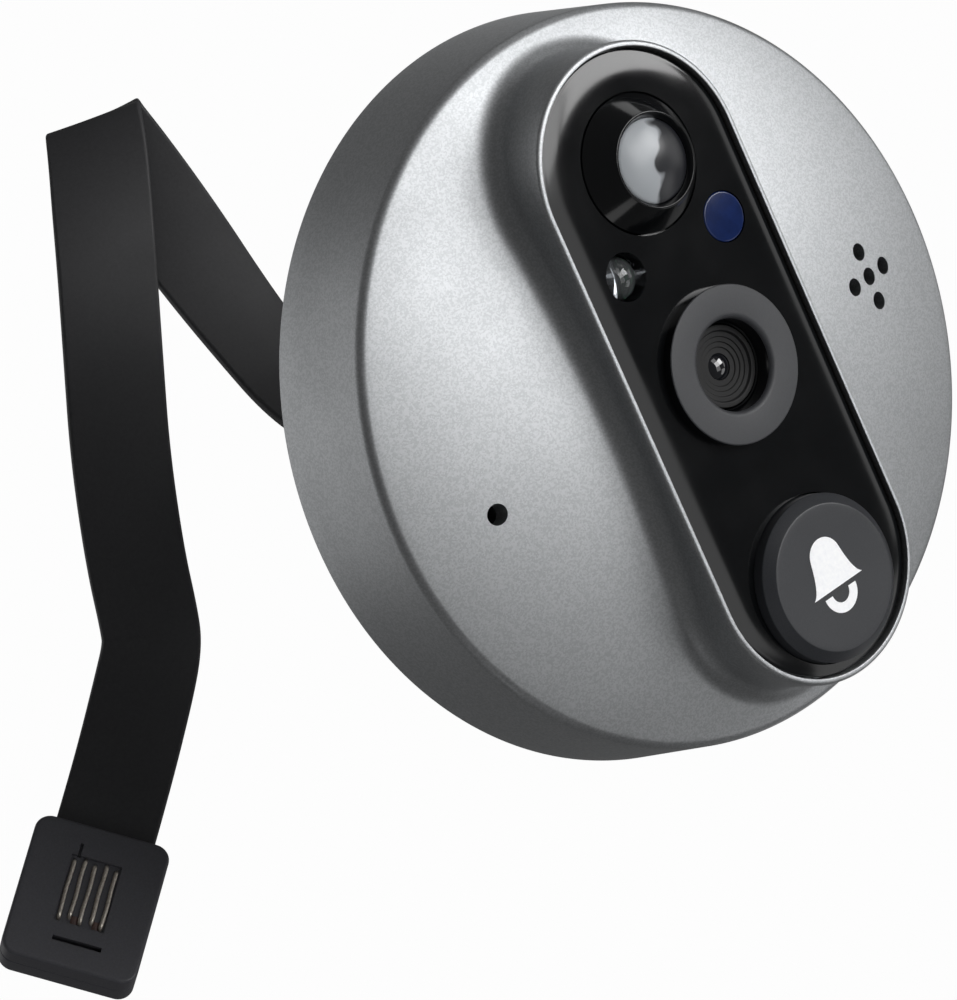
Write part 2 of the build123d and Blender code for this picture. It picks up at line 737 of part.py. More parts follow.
def plug():
    """Plug: front and back shells, small board and the row of wire contacts."""
    plane = plug_plane()
    middle = -plug_length / 2
    outline = Pos(0, middle) * RectangleRounded(plug_width, plug_length, plug_corner)

    def shell(thickness, edge_height):
        body = extrude(outline, thickness)
        outer = [edge for edge in body.edges() if abs(edge.center().Z - edge_height) < 1e-3]
        return fillet(outer, plug_edge)

    front = shell(plug_front_thickness, plug_front_thickness)
    back = shell(-plug_back_thickness, -plug_back_thickness)
    room_length = plug_length - 2 * plug_wall
    room = Pos(0, middle) * Rectangle(plug_width - 2 * plug_wall, room_length)
    back -= extrude(room, -plug_back_thickness + 0.9)
    board = extrude(Pos(0, middle) * Rectangle(plug_width - 2.8, room_length - 0.4), 0.8)
    board = Pos(0, 0, 0.9 - plug_back_thickness) * board

    low_end = -contact_top - contact_length
    offsets = [(index - (contact_count - 1) / 2) * contact_pitch for index in range(contact_count)]
    contacts = []
    for x in offsets:
        groove = Pos(x, -contact_top - contact_length / 2) * Rectangle(0.6, contact_length + 0.5)
        front -= extrude(groove, plug_front_thickness)
        face = plug_front_thickness - contact_radius
        wire_path = FilletPolyline(
            (x, -contact_top - contact_radius, 0.9 - plug_back_thickness + 0.8),
            (x, -contact_top - contact_radius, face),
            (x, low_end + contact_radius, face),
            (x, low_end + contact_radius, face - 1.0),
            radius=0.45,
        )
        start = Plane(origin=wire_path @ 0, z_dir=wire_path % 0)
        contacts.append(sweep(start * Circle(contact_radius), wire_path))
    span = contact_pitch * (contact_count - 1)
    slot = Pos(0.3, -0.82 * plug_length) * Rectangle(span + 0.5, 0.5)
    front -= extrude(slot, plug_front_thickness)
    for x in (offsets[1] + offsets[2], offsets[3] + offsets[4]):
        front -= Pos(x / 2, low_end + 0.3, plug_front_thickness - 0.6) * Box(0.6, 0.7, 1.2)
    slit = Pos(offsets[0], -contact_top + 0.9, plug_front_thickness - 0.4) * Box(0.3, 1.0, 0.8)
    front -= slit
    parts["plug_front_shell"] = (plane * front).solid()
    parts["plug_back_shell"] = (plane * back).solid()
    parts["plug_board"] = (plane * board).solid()
    wires = [solid for wire in contacts for solid in (plane * wire).solids()]
    parts["plug_contacts"] = Compound(children=wires)


front_cover()
rear_cover()
rear_seal()
adhesive_pad()
fasteners()
front_panel()
panel_gasket()
inner_frame()
motion_sensor()
light_pieces()
camera()
button()
bell_switch()
boards()
sound()
cable_grommet()
flat_cable()
plug()

os.makedirs("parts", exist_ok=True)
for name, shape in parts.items():
    export_step(shape, f"parts/{name}.step")
print(len(parts), "nodes")
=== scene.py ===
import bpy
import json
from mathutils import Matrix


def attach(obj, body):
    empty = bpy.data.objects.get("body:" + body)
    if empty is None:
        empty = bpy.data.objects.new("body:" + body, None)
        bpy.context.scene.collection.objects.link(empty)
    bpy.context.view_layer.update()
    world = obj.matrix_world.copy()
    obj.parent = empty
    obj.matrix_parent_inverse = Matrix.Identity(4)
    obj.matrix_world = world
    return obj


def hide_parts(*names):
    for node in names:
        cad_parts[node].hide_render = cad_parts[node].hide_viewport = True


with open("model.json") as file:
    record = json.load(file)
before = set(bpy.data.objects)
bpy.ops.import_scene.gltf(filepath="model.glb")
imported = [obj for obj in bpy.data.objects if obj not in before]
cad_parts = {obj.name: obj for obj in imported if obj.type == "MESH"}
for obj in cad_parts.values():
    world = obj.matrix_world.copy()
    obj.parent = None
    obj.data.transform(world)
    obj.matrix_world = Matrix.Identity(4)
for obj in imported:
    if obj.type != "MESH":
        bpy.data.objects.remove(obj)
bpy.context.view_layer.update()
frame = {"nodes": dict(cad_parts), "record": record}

"""Looks of a round video doorbell: the outdoor unit of a door-viewer camera, with its flat cable.

Sizes are in millimetres unless a name says otherwise, and turn to metres in one place, to_row().
A point of the unit's front is given as a maker draws it: x to the right, z up the door, and h, its
height above the door. In the row frame that is (x, -h, z), with the door's face at y = 0.
"""

import json
import logging
import math
from dataclasses import dataclass, field
from enum import Enum

import bmesh
import bpy
import numpy as np
from mathutils import Euler, Vector

MM = 0.001
SHARP_ANGLE = math.radians(32.0)
MERGE_DISTANCE = 2e-7  # metres
FULL_TURN = 2.0 * math.pi

log = logging.getLogger("doorbell")


# ---------------------------------------------------------------- shapes


def to_row(x: np.ndarray, z: np.ndarray, h: np.ndarray) -> np.ndarray:
    """Turns front-view coordinates in millimetres into row-frame points in metres.

    Args:
        x: Distance to the right.
        z: Distance up the door.
        h: Height above the door.

    Returns:
        Points (x, -h, z) with one more axis of length 3.
    """
    x, z, h = np.broadcast_arrays(x, z, h)
    return np.stack([x, -h, z], axis=-1) * MM


def rounded(corners: list[tuple[float, float, float]], closed: bool = False, steps: int = 6) -> np.ndarray:
    """Rounds the corners of a profile with tangent arcs.

    The arc of a corner with inner angle 2a and radius q starts q / tan(a) from the corner, and its
    centre lies q / sin(a) away on the angle's bisector. Points on it are a spherical blend of the
    two radii that reach its ends.

    Args:
        corners: (across, up, radius) of each corner; a radius of 0 keeps it sharp.
        closed: Whether the last corner joins the first.
        steps: Pieces in each arc.

    Returns:
        The profile's points, shape (n, 2).
    """
    places = np.array([corner[:2] for corner in corners], float)
    count = len(corners)
    runs: list[np.ndarray] = []
    for index, (_, _, radius) in enumerate(corners):
        here = places[index]
        if radius <= 0 or (not closed and index in (0, count - 1)):
            runs.append(here[None])
            continue
        before = places[index - 1] - here
        after = places[(index + 1) % count] - here
        before /= np.linalg.norm(before)
        after /= np.linalg.norm(after)
        half = 0.5 * math.acos(float(np.clip(before @ after, -1.0, 1.0)))
        bisector = (before + after) / np.linalg.norm(before + after)
        centre = here + bisector * radius / math.sin(half)
        reach = radius / math.tan(half)
        start = here + before * reach - centre
        end = here + after * reach - centre
        share = np.linspace(0.0, 1.0, steps + 1)[:, None]
        turn = math.pi - 2.0 * half
        radii = np.sin((1 - share) * turn) * start + np.sin(share * turn) * end
        runs.append(centre + radii / math.sin(turn))
    return np.concatenate(runs)


def arc(centre: tuple[float, float], radius: float, start: float, end: float, steps: int) -> np.ndarray:
    """Points centre + radius (cos t, sin t), with t from start to end in degrees.

    Args:
        centre: The arc's centre.
        radius: The arc's radius.
        start: First angle in degrees.
        end: Last angle in degrees.
        steps: Pieces in the arc.

    Returns:
        Points of shape (steps + 1, 2).
    """
    angle = np.radians(np.linspace(start, end, steps + 1))
    return np.stack([centre[0] + radius * np.cos(angle), centre[1] + radius * np.sin(angle)], axis=1)


def grid_faces(rows: int, columns: int, rows_close: bool) -> list[list[int]]:
    """Quads between the points of a grid whose columns run round in a ring.

    Args:
        rows: Number of rows.
        columns: Number of points in each row.
        rows_close: Whether the last row joins the first.

    Returns:
        Lists of four point numbers.
    """
    index = np.arange(rows * columns).reshape(rows, columns)
    if rows_close:
        index = np.concatenate([index, index[:1]])
    here, ahead = index[:-1], index[1:]
    quads = np.stack([here, np.roll(here, -1, 1), np.roll(ahead, -1, 1), ahead], axis=-1)
    return quads.reshape(-1, 4).tolist()


def smooth(mesh: bpy.types.Mesh) -> None:
    """Shades a mesh smooth, with sharp edges where its faces meet at a clear angle."""
    mesh.shade_smooth()
    mesh.set_sharp_from_angle(angle=SHARP_ANGLE)


def new_piece(name: str, points: np.ndarray, faces: list[list[int]]) -> bpy.types.Object:
    """Makes a closed mesh piece with its doubles merged and its faces outwards.

    Args:
        name: The piece's name.
        points: Points in the row frame, shape (n, 3), in metres.
        faces: Lists of point numbers.

    Returns:
        The new object, at the origin.
    """
    mesh = bpy.data.meshes.new(name)
    mesh.from_pydata(points.reshape(-1, 3).tolist(), [], faces)
    work = bmesh.new()
    work.from_mesh(mesh)
    bmesh.ops.remove_doubles(work, verts=work.verts[:], dist=MERGE_DISTANCE)
    bmesh.ops.dissolve_degenerate(work, edges=work.edges[:], dist=MERGE_DISTANCE)
    bmesh.ops.recalc_face_normals(work, faces=work.faces[:])
    work.to_mesh(mesh)
    work.free()
    smooth(mesh)
    piece = bpy.data.objects.new(name, mesh)
    bpy.context.scene.collection.objects.link(piece)
    return piece


def ringed(name: str, rings: np.ndarray, rows_close: bool, capped: bool = False) -> bpy.types.Object:
    """Makes a piece from rings of points, row by row.

    Args:
        name: The piece's name.
        rings: Points of shape (rows, columns, 3), in metres.
        rows_close: Whether the last ring joins the first.
        capped: Whether the first and last rings are each closed by one flat face.

    Returns:
        The new object.
    """
    rows, columns = rings.shape[:2]
    faces = grid_faces(rows, columns, rows_close)
    if capped:
        faces.append(list(range(columns)))
        faces.append(list(range((rows - 1) * columns, rows * columns)))
    return new_piece(name, rings, faces)


def turned(
    name: str,
    profile: np.ndarray,
    at: tuple[float, float] = (0.0, 0.0),
    rows_close: bool = False,
    columns: int = 128,
) -> bpy.types.Object:
    """Turns a profile about an axis square to the door: (r, h) goes to (r cos t, r sin t, h).

    Args:
        name: The piece's name.
        profile: Points (r, h). An open profile starts and ends on the axis, at r = 0.
        at: The axis's x and z.
        rows_close: Whether the profile is a closed loop, as for a ring.
        columns: Points round the axis.

    Returns:
        The new object.
    """
    angle = np.arange(columns) / columns * FULL_TURN
    radius, height = profile[:, :1], profile[:, 1:]
    rings = to_row(at[0] + radius * np.cos(angle), at[1] + radius * np.sin(angle), height)
    return ringed(name, rings, rows_close)


@dataclass(frozen=True)
class Obround:
    """Upright obround: a spine from (0, -span) to (0, span), offset outwards by a radius.

    Attributes:
        span: Half the distance between the centres of the round ends.
        arc_points: Points round each end.
        side_points: Points along each straight side.
    """

    span: float
    arc_points: int = 112
    side_points: int = 56

    def spine(self) -> tuple[np.ndarray, np.ndarray, np.ndarray]:
        """Where the outline's points stand: the spine's z and the outward way (cos t, sin t) of each.

        Returns:
            The spine's z, the way's x and the way's z, each with one value per point.
        """
        top = np.linspace(0.0, math.pi, self.arc_points, endpoint=False)
        bottom = top + math.pi
        down = np.linspace(self.span, -self.span, self.side_points, endpoint=False)
        left, right = np.full(self.side_points, math.pi), np.full(self.side_points, FULL_TURN)
        high, low = np.full(self.arc_points, self.span), np.full(self.arc_points, -self.span)
        angle = np.concatenate([top, left, bottom, right])
        place = np.concatenate([high, down, low, -down])
        return place, np.cos(angle), np.sin(angle)

    def rings(self, profile: np.ndarray) -> np.ndarray:
        """Carries a profile (r, h) round the outline: each point is spine + r way, at height h.

        Args:
            profile: Points (r, h).

        Returns:
            Row-frame points of shape (profile points, outline points, 3).
        """
        place, way_x, way_z = self.spine()
        radius, height = profile[:, :1], profile[:, 1:]
        return to_row(radius * way_x, place + radius * way_z, height)


def drills(holes: list[tuple[float, float, float]], low: float, high: float) -> bpy.types.Object:
    """Round cutters that run from height low to height high.

    Args:
        holes: (radius, x, z) of each hole.
        low: Height of the cutters' inner ends.
        high: Height of their outer ends.

    Returns:
        One object that holds all the cutters.
    """
    columns = 96
    angle = np.arange(columns) / columns * FULL_TURN
    points: list[np.ndarray] = []
    faces: list[list[int]] = []
    for number, (radius, x, z) in enumerate(holes):
        base = number * 2 * columns
        height = np.array([[low], [high]])
        points.append(to_row(x + radius * np.cos(angle), z + radius * np.sin(angle), height).reshape(-1, 3))
        faces += [[base + corner for corner in quad] for quad in grid_faces(2, columns, False)]
        faces.append(list(range(base, base + columns)))
        faces.append(list(range(base + columns, base + 2 * columns)))
    return new_piece("cutter", np.concatenate(points), faces)


def cut(piece: bpy.types.Object, cutter: bpy.types.Object) -> None:
    """Cuts a cutter out of a piece and removes the cutter.

    Args:
        piece: The piece that gets the holes.
        cutter: What is taken away, a closed mesh.
    """
    modifier = piece.modifiers.new("cut", "BOOLEAN")
    modifier.operation = "DIFFERENCE"
    modifier.solver = "EXACT"
    modifier.object = cutter
    graph = bpy.context.evaluated_depsgraph_get()
    mesh = bpy.data.meshes.new_from_object(piece.evaluated_get(graph))
    piece.modifiers.clear()
    piece.data = mesh
    bpy.data.objects.remove(cutter)
    smooth(mesh)


# ---------------------------------------------------------------- finishes


def linear(code: str) -> tuple[float, float, float, float]:
    """Turns an sRGB hex colour into linear light: ((c + 0.055) / 1.055) ^ 2.4, or c / 12.92 if dark.

    Args:
        code: Six hex digits.

    Returns:
        Red, green, blue and an alpha of 1.
    """
    values = np.array([int(code[place : place + 2], 16) for place in (0, 2, 4)]) / 255.0
    light = np.where(values <= 0.04045, values / 12.92, ((values + 0.055) / 1.055) ** 2.4)
    return (float(light[0]), float(light[1]), float(light[2]), 1.0)


def add_node(
    tree: bpy.types.NodeTree,
    kind: str,
    settings: dict[str, object] | None = None,
    values: dict[str | int, object] | None = None,
    links: dict[str | int, bpy.types.NodeSocket] | None = None,
) -> bpy.types.Node:
    """Adds a node with its settings, its fixed socket values and its links.

    Args:
        tree: The material's node tree.
        kind: The node's type name.
        settings: Attributes of the node.
        values: Fixed values by input name or number.
        links: Source sockets by input name or number.

    Returns:
        The new node.
    """
    node = tree.nodes.new(kind)
    for key, value in (settings or {}).items():
        setattr(node, key, value)
    for key, value in (values or {}).items():
        node.inputs[key].default_value = value
    for key, source in (links or {}).items():
        tree.links.new(source, node.inputs[key])
    return node


class Pattern(Enum):
    """What the surface's texture is like."""

    GRAIN = "moulded or blasted grain"
    FLAKE = "metal flakes in lacquer"
    BRUSHED = "lines along z"
    TURNED = "rings left by a lathe"
    TRACKS = "circuit tracks under solder mask"
    # Painted reflection: the colour holds a light half and a dark half that stand in for reflections.
    PAINTED_REFLECTION = "milky shell, dark where the hollow behind it shows"


# Painted reflection on the motion sensor's lens: the way from its dark side to its light side, its height
# on the unit, how far the edge between them wanders and half the edge's softness, in metres.
PAINTED_REFLECTION_WAY = (-0.9, 0.0, 0.35)
PAINTED_REFLECTION_Z = 0.0186
PAINTED_REFLECTION_WOBBLE = 0.004
PAINTED_REFLECTION_EDGE = 0.0004


@dataclass(frozen=True)
class Finish:
    """One finish: two tones, a pattern with its real size, and how the surface takes the light.

    Attributes:
        title: The material's name.
        dark: sRGB hex of the darker tone.
        light: sRGB hex of the lighter tone.
        pattern: The kind of texture.
        grain: Size of the texture's details.
        relief: Depth of the texture.
        roughness: Lowest and highest roughness.
        cloud: Size of the slow variation of the roughness.
        metallic: 1 for bare metal.
        ior: Index of refraction of what isn't metal.
        coat: Weight of a clear coat.
        coat_roughness: Roughness of that coat.
        clear: Weight of transmission, for glass and clear resin.
    """

    title: str
    dark: str
    light: str
    pattern: Pattern = Pattern.GRAIN
    grain: float = 0.2
    relief: float = 0.004
    roughness: tuple[float, float] = (0.4, 0.5)
    cloud: float = 6.0
    metallic: float = 0.0
    ior: float = 1.5
    coat: float = 0.0
    coat_roughness: float = 0.1
    clear: float = 0.0

    def _texture(self, tree: bpy.types.NodeTree, coordinates: bpy.types.NodeSocket) -> bpy.types.NodeSocket:
        """Adds the pattern's own nodes.

        Args:
            tree: The material's node tree.
            coordinates: Object coordinates, in metres.

        Returns:
            A socket with the pattern's value, from 0 to 1.
        """
        scale = 1.0 / (self.grain * MM)
        if self.pattern is Pattern.FLAKE:
            values = {"Scale": scale, "Randomness": 1.0}
            cells = add_node(tree, "ShaderNodeTexVoronoi", None, values, {"Vector": coordinates})
            links = {"Color": cells.outputs["Color"]}
            return add_node(tree, "ShaderNodeSeparateColor", None, None, links).outputs[0]
        if self.pattern is Pattern.TURNED:
            settings = {"wave_type": "RINGS", "rings_direction": "Y"}
            values = {"Scale": 0.05 * scale, "Distortion": 0.4, "Detail": 1.0}
            rings = add_node(tree, "ShaderNodeTexWave", settings, values, {"Vector": coordinates})
            return rings.outputs["Fac"]
        if self.pattern is Pattern.TRACKS:
            settings = {"offset": 0.5, "squash": 1.0}
            values = {"Scale": 1.0, "Brick Width": self.grain * MM * 6, "Row Height": self.grain * MM * 2}
            values |= {"Mortar Size": self.grain * MM * 0.3, "Mortar Smooth": 0.2}
            upright = {"Rotation": (math.pi / 2, 0.0, 0.0)}
            turn = add_node(tree, "ShaderNodeMapping", None, upright, {"Vector": coordinates})
            links = {"Vector": turn.outputs["Vector"]}
            return add_node(tree, "ShaderNodeTexBrick", settings, values, links).outputs["Fac"]
        if self.pattern is Pattern.PAINTED_REFLECTION:
            # Painted reflection: light on one side of a wobbly edge, dark on the other.
            values = {"Scale": scale, "Detail": 1.0}
            wobble = add_node(tree, "ShaderNodeTexNoise", None, values, {"Vector": coordinates})
            settings = {"operation": "DOT_PRODUCT"}
            side = add_node(tree, "ShaderNodeVectorMath", settings, {1: PAINTED_REFLECTION_WAY}, {0: coordinates})
            settings = {"operation": "MULTIPLY_ADD"}
            links = {0: wobble.outputs["Fac"], 2: side.outputs["Value"]}
            moved = add_node(tree, "ShaderNodeMath", settings, {1: PAINTED_REFLECTION_WOBBLE}, links)
            middle = PAINTED_REFLECTION_WAY[2] * PAINTED_REFLECTION_Z + PAINTED_REFLECTION_WOBBLE / 2
            spread = {"From Min": middle - PAINTED_REFLECTION_EDGE, "From Max": middle + PAINTED_REFLECTION_EDGE}
            links = {"Value": moved.outputs["Value"]}
            return add_node(tree, "ShaderNodeMapRange", None, spread, links).outputs["Result"]
        stretch = (1.0, 1.0, 0.04) if self.pattern is Pattern.BRUSHED else (1.0, 1.0, 1.0)
        place = add_node(tree, "ShaderNodeMapping", None, {"Scale": stretch}, {"Vector": coordinates})
        values = {"Scale": scale, "Detail": 3.0, "Roughness": 0.6}
        links = {"Vector": place.outputs["Vector"]}
        return add_node(tree, "ShaderNodeTexNoise", None, values, links).outputs["Fac"]

    def material(self) -> bpy.types.Material:
        """Builds the material, or finds the one that was built before.

        Returns:
            The material.
        """
        found = bpy.data.materials.get(self.title)
        if found:
            return found
        material = bpy.data.materials.new(self.title)
        material.use_nodes = True
        tree = material.node_tree
        tree.nodes.clear()
        coordinates = add_node(tree, "ShaderNodeTexCoord").outputs["Object"]
        fine = self._texture(tree, coordinates)
        slow_values = {"Scale": 1.0 / (self.cloud * MM), "Detail": 2.0}
        clouds = add_node(tree, "ShaderNodeTexNoise", None, slow_values, {"Vector": coordinates})
        ramp = add_node(tree, "ShaderNodeValToRGB", None, None, {"Fac": fine})
        ramp.color_ramp.elements[0].position = 0.25
        ramp.color_ramp.elements[0].color = linear(self.dark)
        ramp.color_ramp.elements[1].position = 0.75
        ramp.color_ramp.elements[1].color = linear(self.light)
        smoothest, roughest = self.roughness
        spread = {"From Min": 0.3, "From Max": 0.7, "To Min": smoothest, "To Max": roughest}
        rough = add_node(tree, "ShaderNodeMapRange", None, spread, {"Value": clouds.outputs["Fac"]})
        relief = {"Strength": 1.0, "Distance": self.relief * MM}
        bump = add_node(tree, "ShaderNodeBump", None, relief, {"Height": fine})
        values = {
            "Metallic": self.metallic,
            "IOR": self.ior,
            "Coat Weight": self.coat,
            "Coat Roughness": self.coat_roughness,
            "Transmission Weight": self.clear,
        }
        links = {
            "Base Color": ramp.outputs["Color"],
            "Roughness": rough.outputs["Result"],
            "Normal": bump.outputs["Normal"],
        }
        shader = add_node(tree, "ShaderNodeBsdfPrincipled", None, values, links)
        add_node(tree, "ShaderNodeOutputMaterial", None, None, {"Surface": shader.outputs["BSDF"]})
        return material


# Aluminium, blasted and lacquered silver: a satin sheen that falls off quickly, with a sparkle of
# flakes. Real flakes are about 0.05 mm; they are drawn at nearly three times that, to show.
SILVER = Finish(
    "silver_lacquered_aluminium", "acaeb0", "babcbe", Pattern.FLAKE, 0.14, 0.0012, (0.47, 0.53), 9.0,
    metallic=1.0,
)
# ABS, moulded in a polished tool: near black, with a clear reflection and faint handling marks.
GLOSS_BLACK = Finish(
    "polished_black_abs", "08090a", "0b0c0e", grain=0.6, relief=0.0, roughness=(0.10, 0.16),
)
# ABS, moulded in a spark-eroded tool: an even, dull grain.
GRAINED_BLACK = Finish(
    "grained_black_abs", "101011", "1b1b1d", grain=0.25, relief=0.02, roughness=(0.5, 0.62),
)
# Silicone rubber: dull and soft to the light.
RUBBER = Finish(
    "black_silicone_rubber", "0f0f10", "191919", grain=0.35, relief=0.012, roughness=(0.65, 0.8),
)
# Closed-cell foam tape: open pores on the cut face.
FOAM = Finish("black_foam_tape", "0e0e0f", "2b2b2c", grain=0.45, relief=0.08, roughness=(0.85, 0.95))
# Brass, turned: bright rings left by the tool.
BRASS = Finish(
    "turned_brass", "8d6b2f", "c9a45a", Pattern.TURNED, 0.25, 0.004, (0.25, 0.35), metallic=1.0,
)
# Steel, zinc-plated: a bright grey with a slight bloom.
SCREW_STEEL = Finish(
    "zinc_plated_steel", "8c8e90", "b9bbbd", grain=0.3, relief=0.004, roughness=(0.3, 0.45),
    metallic=1.0,
)
# Steel sheet, stamped: fine rolling lines.
SHEET_STEEL = Finish(
    "stamped_steel", "8a8b8d", "b4b5b7", Pattern.BRUSHED, 0.15, 0.003, (0.3, 0.4), metallic=1.0,
)
# Polyethylene lens, moulded grey and glossy. Its colour holds a painted reflection: a light half on the
# upper left and a dark half on the lower right, split by a wobbly edge.
SENSOR_LENS = Finish(
    "grey_lens_with_painted_reflection", "1c1d21", "9da1a5", Pattern.PAINTED_REFLECTION, 2.4, 0.0, (0.26, 0.32)
)
# Silicon window: dark, polished and a little metallic.
DARK_FILTER = Finish(
    "silicon_window", "141418", "1e1e26", grain=0.8, relief=0.0, roughness=(0.05, 0.1), ior=2.4,
)
# Epoxy, cast clear round the lamp's chip.
CLEAR_RESIN = Finish(
    "clear_epoxy", "d7dde2", "e6eaee", grain=1.0, relief=0.0, roughness=(0.03, 0.06), ior=1.54,
    clear=0.95,
)
# Silvered cup of the lamp.
CHROME = Finish(
    "silvered_cup", "c8c9cb", "e9eaec", grain=0.5, relief=0.0, roughness=(0.05, 0.12), metallic=1.0,
)
# Polycarbonate, dyed dark blue and polished.
BLUE_FILTER = Finish(
    "dark_blue_polycarbonate", "0c1a3e", "132554", grain=1.2, relief=0.0, roughness=(0.12, 0.17),
    ior=1.5,
)
# Epoxy moulding compound of a chip: a dull, slightly pitted black.
CHIP_BLACK = Finish("chip_epoxy", "0d0d0e", "18181a", grain=0.15, relief=0.006, roughness=(0.5, 0.65))
# ABS, painted satin grey.
RING_GREY = Finish(
    "satin_grey_paint", "303134", "38393c", grain=0.12, relief=0.003, roughness=(0.5, 0.58),
)
# Aluminium, black anodised and turned: fine rings, low gloss.
BARREL_BLACK = Finish(
    "black_anodised_aluminium", "050506", "08080a", Pattern.TURNED, 0.3, 0.004, (0.65, 0.75),
)
# Glass with an anti-reflection coat: dark, with small sharp glints.
LENS_GLASS = Finish(
    "coated_lens_glass", "101114", "17181c", grain=2.0, relief=0.0, roughness=(0.02, 0.04), ior=1.6,
    coat=1.0, coat_roughness=0.02,
)
# Glass-fibre board under green solder mask.
CIRCUIT_BOARD = Finish("green_solder_mask", "0b3d22", "14582f", Pattern.TRACKS, 0.35, 0.01, (0.3, 0.4))
# Nylon of a connector, moulded ivory.
CONNECTOR_IVORY = Finish(
    "ivory_nylon", "d3c9ae", "e2dac4", grain=0.3, relief=0.006, roughness=(0.45, 0.55),
)
# ABS with a soft-touch lacquer: satin, dark grey.
BUTTON_DARK = Finish(
    "soft_touch_grey", "26282b", "303135", grain=0.14, relief=0.003, roughness=(0.38, 0.44),
)
# White ABS inlay, left as moulded.
SYMBOL_WHITE = Finish(
    "white_abs_inlay", "f2f3f6", "ffffff", grain=0.4, relief=0.001, roughness=(0.4, 0.5),
)
# Ferrite, sintered: dark grey and stony.
FERRITE = Finish("sintered_ferrite", "262628", "38383b", grain=0.2, relief=0.02, roughness=(0.6, 0.75))
# Ceramic of a capacitor: a dull tan.
CERAMIC_TAN = Finish("tan_ceramic", "8b6a43", "a5835a", grain=0.3, relief=0.003, roughness=(0.4, 0.5))
# Polyester film of the speaker's cone.
SPEAKER_FILM = Finish(
    "polyester_film", "3a3a3c", "4a4a4d", grain=0.6, relief=0.01, roughness=(0.2, 0.3),
)
# Polyester sleeve of the flat cable, pressed smooth: a low, even sheen.
CABLE_BLACK = Finish(
    "black_cable_sleeve", "252527", "2d2d2f", grain=0.3, relief=0.004, roughness=(0.55, 0.65),
    cloud=8.0,
)
# ABS of the plug, moulded in a finely etched tool.
PLUG_BLACK = Finish(
    "etched_black_abs", "38383c", "424247", grain=0.18, relief=0.006, roughness=(0.45, 0.55),
)
# Phosphor bronze wire, tinned and a little tarnished.
CONTACT_TIN = Finish(
    "tinned_bronze_wire", "b5aca0", "dcd6cc", grain=0.25, relief=0.006, roughness=(0.3, 0.45),
    metallic=1.0,
)
# Brown moulding under the plug's wires.
CONTACT_BED = Finish("brown_phenolic", "43332f", "52403b", grain=0.3, relief=0.01, roughness=(0.5, 0.6))

SLOT_FINISHES = {
    "silver_casing": SILVER,
    "black_casing": GRAINED_BLACK,
    "seal_rubber": RUBBER,
    "foam_tape": FOAM,
    "brass": BRASS,
    "screw_steel": SCREW_STEEL,
    "panel_gloss_black": GLOSS_BLACK,
    "sensor_lens_grey": SENSOR_LENS,
    "sheet_steel": SHEET_STEEL,
    "dark_filter": DARK_FILTER,
    "lamp_resin": CLEAR_RESIN,
    "reflector": CHROME,
    "blue_filter": BLUE_FILTER,
    "chip_black": CHIP_BLACK,
    "ring_grey": RING_GREY,
    "barrel_black": BARREL_BLACK,
    "lens_glass": LENS_GLASS,
    "circuit_board": CIRCUIT_BOARD,
    "connector_ivory": CONNECTOR_IVORY,
    "button_dark": BUTTON_DARK,
    "symbol_white": SYMBOL_WHITE,
    "coil_ferrite": FERRITE,
    "capacitor_tan": CERAMIC_TAN,
    "speaker_film": SPEAKER_FILM,
    "cable_black": CABLE_BLACK,
    "plug_black": PLUG_BLACK,
    "contact_tin": CONTACT_TIN,
}
HOUSING = "housing"
BUTTON = "button"


def dress(
    piece: bpy.types.Object, finish: Finish, body: str, stands_for: tuple[str, ...] = ()
) -> bpy.types.Object:
    """Gives a piece its finish, its body and the CAD nodes it stands for.

    Args:
        piece: The piece.
        finish: What it is finished in.
        body: The CAD body that it rides on.
        stands_for: CAD nodes that it replaces.

    Returns:
        The same piece.
    """
    piece.data.materials.append(finish.material())
    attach(piece, body)
    if stands_for:
        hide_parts(*stands_for)
    log.info("%s: %s, on %s", piece.name, finish.title, body)
    return piece


# ---------------------------------------------------------------- casing


